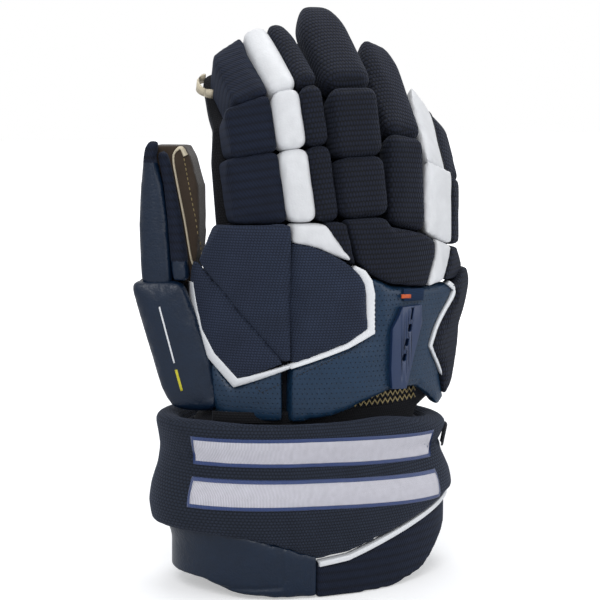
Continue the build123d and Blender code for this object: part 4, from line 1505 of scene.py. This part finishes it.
class GLOVE_OT_thumb(GloveOperator, bpy.types.Operator):
    """Pad the thumb's back, side and suede inside"""

    bl_idname = "glove.thumb"
    bl_label = "Thumb"

    def execute(self, context):
        made = {}
        for node, body, mesh, rounding, swell, finish, slot, shape in THUMB_PIECES:
            obj = cushion(node + "_cover", node, body, mesh, rounding, swell, THUMB_BASIS, shape=shape)
            cloth_flat(obj, THUMB_BASIS)
            made[node] = dress(obj, finish, slot)
        for node, second, low, high in (("thumb_tip_shell", "navy_twill", THUMB_CAP, math.inf),
                                        ("thumb_tip_side", "thumb_leather", 0.0, THUMB_KNEE)):
            mesh = made[node].data
            mesh.materials.append(MATERIALS[second])
            for polygon in mesh.polygons:
                z = (polygon.center - ORIGIN).z / MM
                polygon.material_index = 1 if low < z < high else 0
        self.edge(on_thumb([made["thumb_tip_stall"]]))
        surface = on_thumb([made["thumb_base_shell"]])
        for name, path, width, finish in THUMB_ACCENTS:
            fixed(strip(name, path, (width, width), surface, 0.4, 0.6), finish, "thumb_base")
        outline = rounded_outline(FOLD_OUTLINE)
        rings = [[thumb_place(u, v, z) for u, v in outline] for z in FOLD_HEIGHTS]
        start = thumb_place(0.0, FOLD_DEPTH, THUMB_FOLD - FOLD_REACH)
        end = thumb_place(0.0, FOLD_DEPTH, THUMB_FOLD + FOLD_REACH)
        bent_sleeve("thumb_sleeve", rings, start, end, "suede", "suede")
        return {"FINISHED"}

    def edge(self, surface):
        """The curled raw edge of the inner leather, and the stitches beside it."""
        side = [(u, z) for z, u in zip(THUMB_HEIGHTS, THUMB_RIGHT) if EDGE_REACH[0] < z < EDGE_REACH[1]]
        path = [EDGE_START] + [(u + EDGE_PROUD, z) for u, z in side] + EDGE_CURL
        for _ in range(2):
            cut = [tuple(a + (b - a) * share for a, b in zip(one, two))
                   for one, two in zip(path[:-1], path[1:]) for share in (0.25, 0.75)]
            path = [path[0]] + cut + [path[-1]]
        count = len(path)
        widths = [EDGE_WIDTH + EDGE_FLARE * smooth(k / count, 0.6, 1.0) for k in range(count)]
        curl = strip("thumb_curl_edge", path, widths, surface, 1.6, 1.0)
        fixed(curl, "cream_edge", "thumb_tip")
        inner = [(u + SEAM_INSIDE + 1.5 * smooth(z, 190.0, 230.0), z) for u, z in side]
        fixed(stitches("thumb_stitches", inner, surface, 2.8, 1.9), "thread_tan", "thumb_tip")


class GLOVE_OT_cuff(GloveOperator, bpy.types.Operator):
    """Make the padded cuff roll with its stripes, the flaps, trim, tag and liner"""

    bl_idname = "glove.cuff"
    bl_label = "Cuff"

    def execute(self, context):
        roll = cushion("cuff_roll_cover", "cuff_roll", "cuff", 2.4, 5, SIZES.cuff_swell, shape=shape_cuff)
        made = {"cuff_roll": dress(roll, "cuff_knit", "navy_knit")}
        for node, finish, slot, shape in (("thumb_side_flap", "thumb_leather", "navy_leather", shape_flap),
                                          ("little_side_flap", "navy_twill", "navy_knit", shape_knit_flap)):
            flap = cushion(node + "_cover", node, node, 1.9, 4, 1.0, shape=shape)
            made[node] = dress(flap, finish, slot)
        groove(made["thumb_side_flap"], FLAP_SEAM, 0.8, 1.2)
        for node, finish, slot, shape in (("cuff_insert", "lining", "stiffener", shape_liner),
                                          ("cuff_liner", "lining", "lining", shape_liner),
                                          ("cuff_trim", "white_trim", "white_trim", shape_trim),
                                          ("cuff_tag", "tag", "tag", shape_cuff)):
            made[node] = dress(thin_piece(node + "_cover", node, "cuff", 0.5), finish, slot)
            shape(made[node])
        for obj in made.values():
            cloth_round(obj, CUFF_CENTRE, CLOTH_RADIUS)
        self.stripes(on_cuff([roll]))
        return {"FINISHED"}

    def stripes(self, surface):
        """Two plain embroidered stripes, each on a wider blue one."""
        low, high = STRIPE_REACH
        longer, wider = EDGING
        for k, z in enumerate(STRIPES):
            angles = np.linspace(low, high, 12)
            path = [(angle, z - STRIPE_FALL * smooth(angle, -15.0, 60.0)) for angle in angles]
            edging = [(low - longer, path[0][1])] + path + [(high + longer, path[-1][1])]
            for name, line, width, thick, finish in (
                    ("cuff_stripe_edging", edging, STRIPE_WIDTH + wider, 0.7, "thread_blue"),
                    ("cuff_stripe", path, STRIPE_WIDTH, 1.3, "thread_white")):
                obj = strip("%s_%d" % (name, k + 1), line, [width] * len(line), surface, thick, 1.0,
                            scale=CUFF_GIRTH)
                cloth_round(obj, CUFF_CENTRE, CLOTH_RADIUS)
                dress(obj, finish)
                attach(obj, "cuff")


def area_light(name, place, target, width, power):
    light = bpy.data.lights.new(name, "AREA")
    light.energy = power
    light.size = width
    obj = bpy.data.objects.new(name, light)
    obj.location = place
    obj.rotation_euler = (Vector(place) - Vector(target)).to_track_quat("Z", "Y").to_euler()
    bpy.context.scene.collection.objects.link(obj)
    return obj


MIDDLE = at(-10.8, -10.0, 173.1)
FLOOR_HALF = 6.0
# lamps: name, place, width and power
LAMPS = (("key_lamp", (-0.7, -1.2, 1.3), 0.9, 12.0),
         ("fill_lamp", (1.1, -0.9, 0.6), 1.0, 5.0),
         ("top_lamp", (0.1, 0.4, 1.5), 0.8, 7.0))


class GLOVE_OT_stage(GloveOperator, bpy.types.Operator):
    """Set the floor, the lamps and the camera"""

    bl_idname = "glove.stage"
    bl_label = "Stage"

    def execute(self, context):
        self.floor()
        self.world(context.scene)
        for name, place, width, power in LAMPS:
            area_light(name, place, MIDDLE, width, power)
        self.camera(context.scene)
        context.scene.view_settings.view_transform = "Standard"
        return {"FINISHED"}

    def floor(self):
        """A wide flat floor that keeps the glove's shadow."""
        half = FLOOR_HALF
        floor = new_piece("floor", [(-half, -half, 0), (half, -half, 0), (half, half, 0), (-half, half, 0)],
                          [(0, 1, 2, 3)])
        # Matt white paper that reads as the white backdrop where no shadow falls on it.
        material, tree, output, _ = start_material("white_paper_floor")
        path = add(tree, "ShaderNodeLightPath")
        place = add(tree, "ShaderNodeTexCoord").outputs["Object"]
        away = add(tree, "ShaderNodeVectorMath", {"operation": "LENGTH"}, {0: place})
        paler = add(tree, "ShaderNodeMapRange", {"interpolation_type": "SMOOTHSTEP"},
                    {"Value": away.outputs["Value"], "From Min": 0.2, "From Max": 1.5,
                     "To Min": 0.4, "To Max": 1.0})
        glow = add(tree, "ShaderNodeMath", {"operation": "MULTIPLY"},
                   {0: path.outputs["Is Camera Ray"], 1: paler.outputs[0]})
        paper = mottled(tree, place, 40.0)
        matt = add(tree, "ShaderNodeBsdfPrincipled", None,
                   {"Base Color": two_colors(tree, paper, linear("#ededee"), linear("#f1f1f2")),
                    "Roughness": 0.9, "Specular IOR Level": 0.1, "Emission Color": linear("#ffffff"),
                    "Emission Strength": glow.outputs[0]})
        tree.links.new(matt.outputs[0], output.inputs[0])
        floor.data.materials.append(material)
        floor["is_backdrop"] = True

    def world(self, scene):
        """Soft even light that is seen as plain white."""
        world = bpy.data.worlds.new("studio")
        world.use_nodes = True
        tree = world.node_tree
        tree.nodes.clear()
        path = add(tree, "ShaderNodeLightPath")
        seen = add(tree, "ShaderNodeMath", {"operation": "MAXIMUM"},
                   {0: path.outputs["Is Camera Ray"], 1: path.outputs["Is Glossy Ray"]})
        lit = add(tree, "ShaderNodeBackground", None, {"Color": linear("#e4e8ee"), "Strength": 0.5})
        shown = add(tree, "ShaderNodeBackground", None, {"Color": linear("#ffffff"), "Strength": 1.0})
        mix = add(tree, "ShaderNodeMixShader", None,
                  {0: seen.outputs[0], 1: lit.outputs[0], 2: shown.outputs[0]})
        add(tree, "ShaderNodeOutputWorld", None, {0: mix.outputs[0]})
        scene.world = world

    def camera(self, scene):
        camera = bpy.data.cameras.new("camera")
        camera.lens = 100.0
        camera.sensor_width = 36.0
        obj = bpy.data.objects.new("camera", camera)
        azimuth, elevation = SIZES.camera_azimuth, SIZES.camera_elevation
        back = Vector((math.sin(azimuth) * math.cos(elevation), -math.cos(azimuth) * math.cos(elevation),
                       math.sin(elevation)))
        obj.location = MIDDLE + back * SIZES.camera_distance
        obj.rotation_euler = back.to_track_quat("Z", "Y").to_euler()
        scene.collection.objects.link(obj)
        scene.camera = obj


STEPS = (GLOVE_OT_finger_rolls, GLOVE_OT_finger_sleeves, GLOVE_OT_hand_pads, GLOVE_OT_palm, GLOVE_OT_trim,
         GLOVE_OT_thumb, GLOVE_OT_cuff, GLOVE_OT_stage)


class GLOVE_PT_panel(bpy.types.Panel):
    """Lists the steps that dress the glove, and its sizes and colours"""

    bl_idname = "GLOVE_PT_panel"
    bl_label = "Ice hockey glove"
    bl_space_type = "VIEW_3D"
    bl_region_type = "UI"
    bl_category = "Glove"

    def draw(self, context):
        for step in STEPS:
            self.layout.operator(step.bl_idname)
        for group in (context.scene.glove_sizes, context.scene.glove_colors):
            for key in type(group).__annotations__:
                self.layout.prop(group, key)


CLASSES = (GloveSizes, GloveColors) + STEPS + (GLOVE_PT_panel,)
SIZES = None
COLORS = None


def register():
    for item in CLASSES:
        bpy.utils.register_class(item)
    bpy.types.Scene.glove_sizes = bpy.props.PointerProperty(type=GloveSizes)
    bpy.types.Scene.glove_colors = bpy.props.PointerProperty(type=GloveColors)


def unregister():
    del bpy.types.Scene.glove_sizes
    del bpy.types.Scene.glove_colors
    for item in reversed(CLASSES):
        bpy.utils.unregister_class(item)


def main():
    global SIZES, COLORS
    register()
    SIZES = bpy.context.scene.glove_sizes
    COLORS = bpy.context.scene.glove_colors
    MATERIALS.update(make_materials())
    for step in STEPS:
        group, name = step.bl_idname.split(".")
        getattr(getattr(bpy.ops, group), name)()
    boxes = {"cad": CAD_BOX, "visual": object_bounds()}
    {key: [[float(v) for v in corner] for corner in box] for key, box in boxes.items()}


if __name__ == "__main__":
    main()
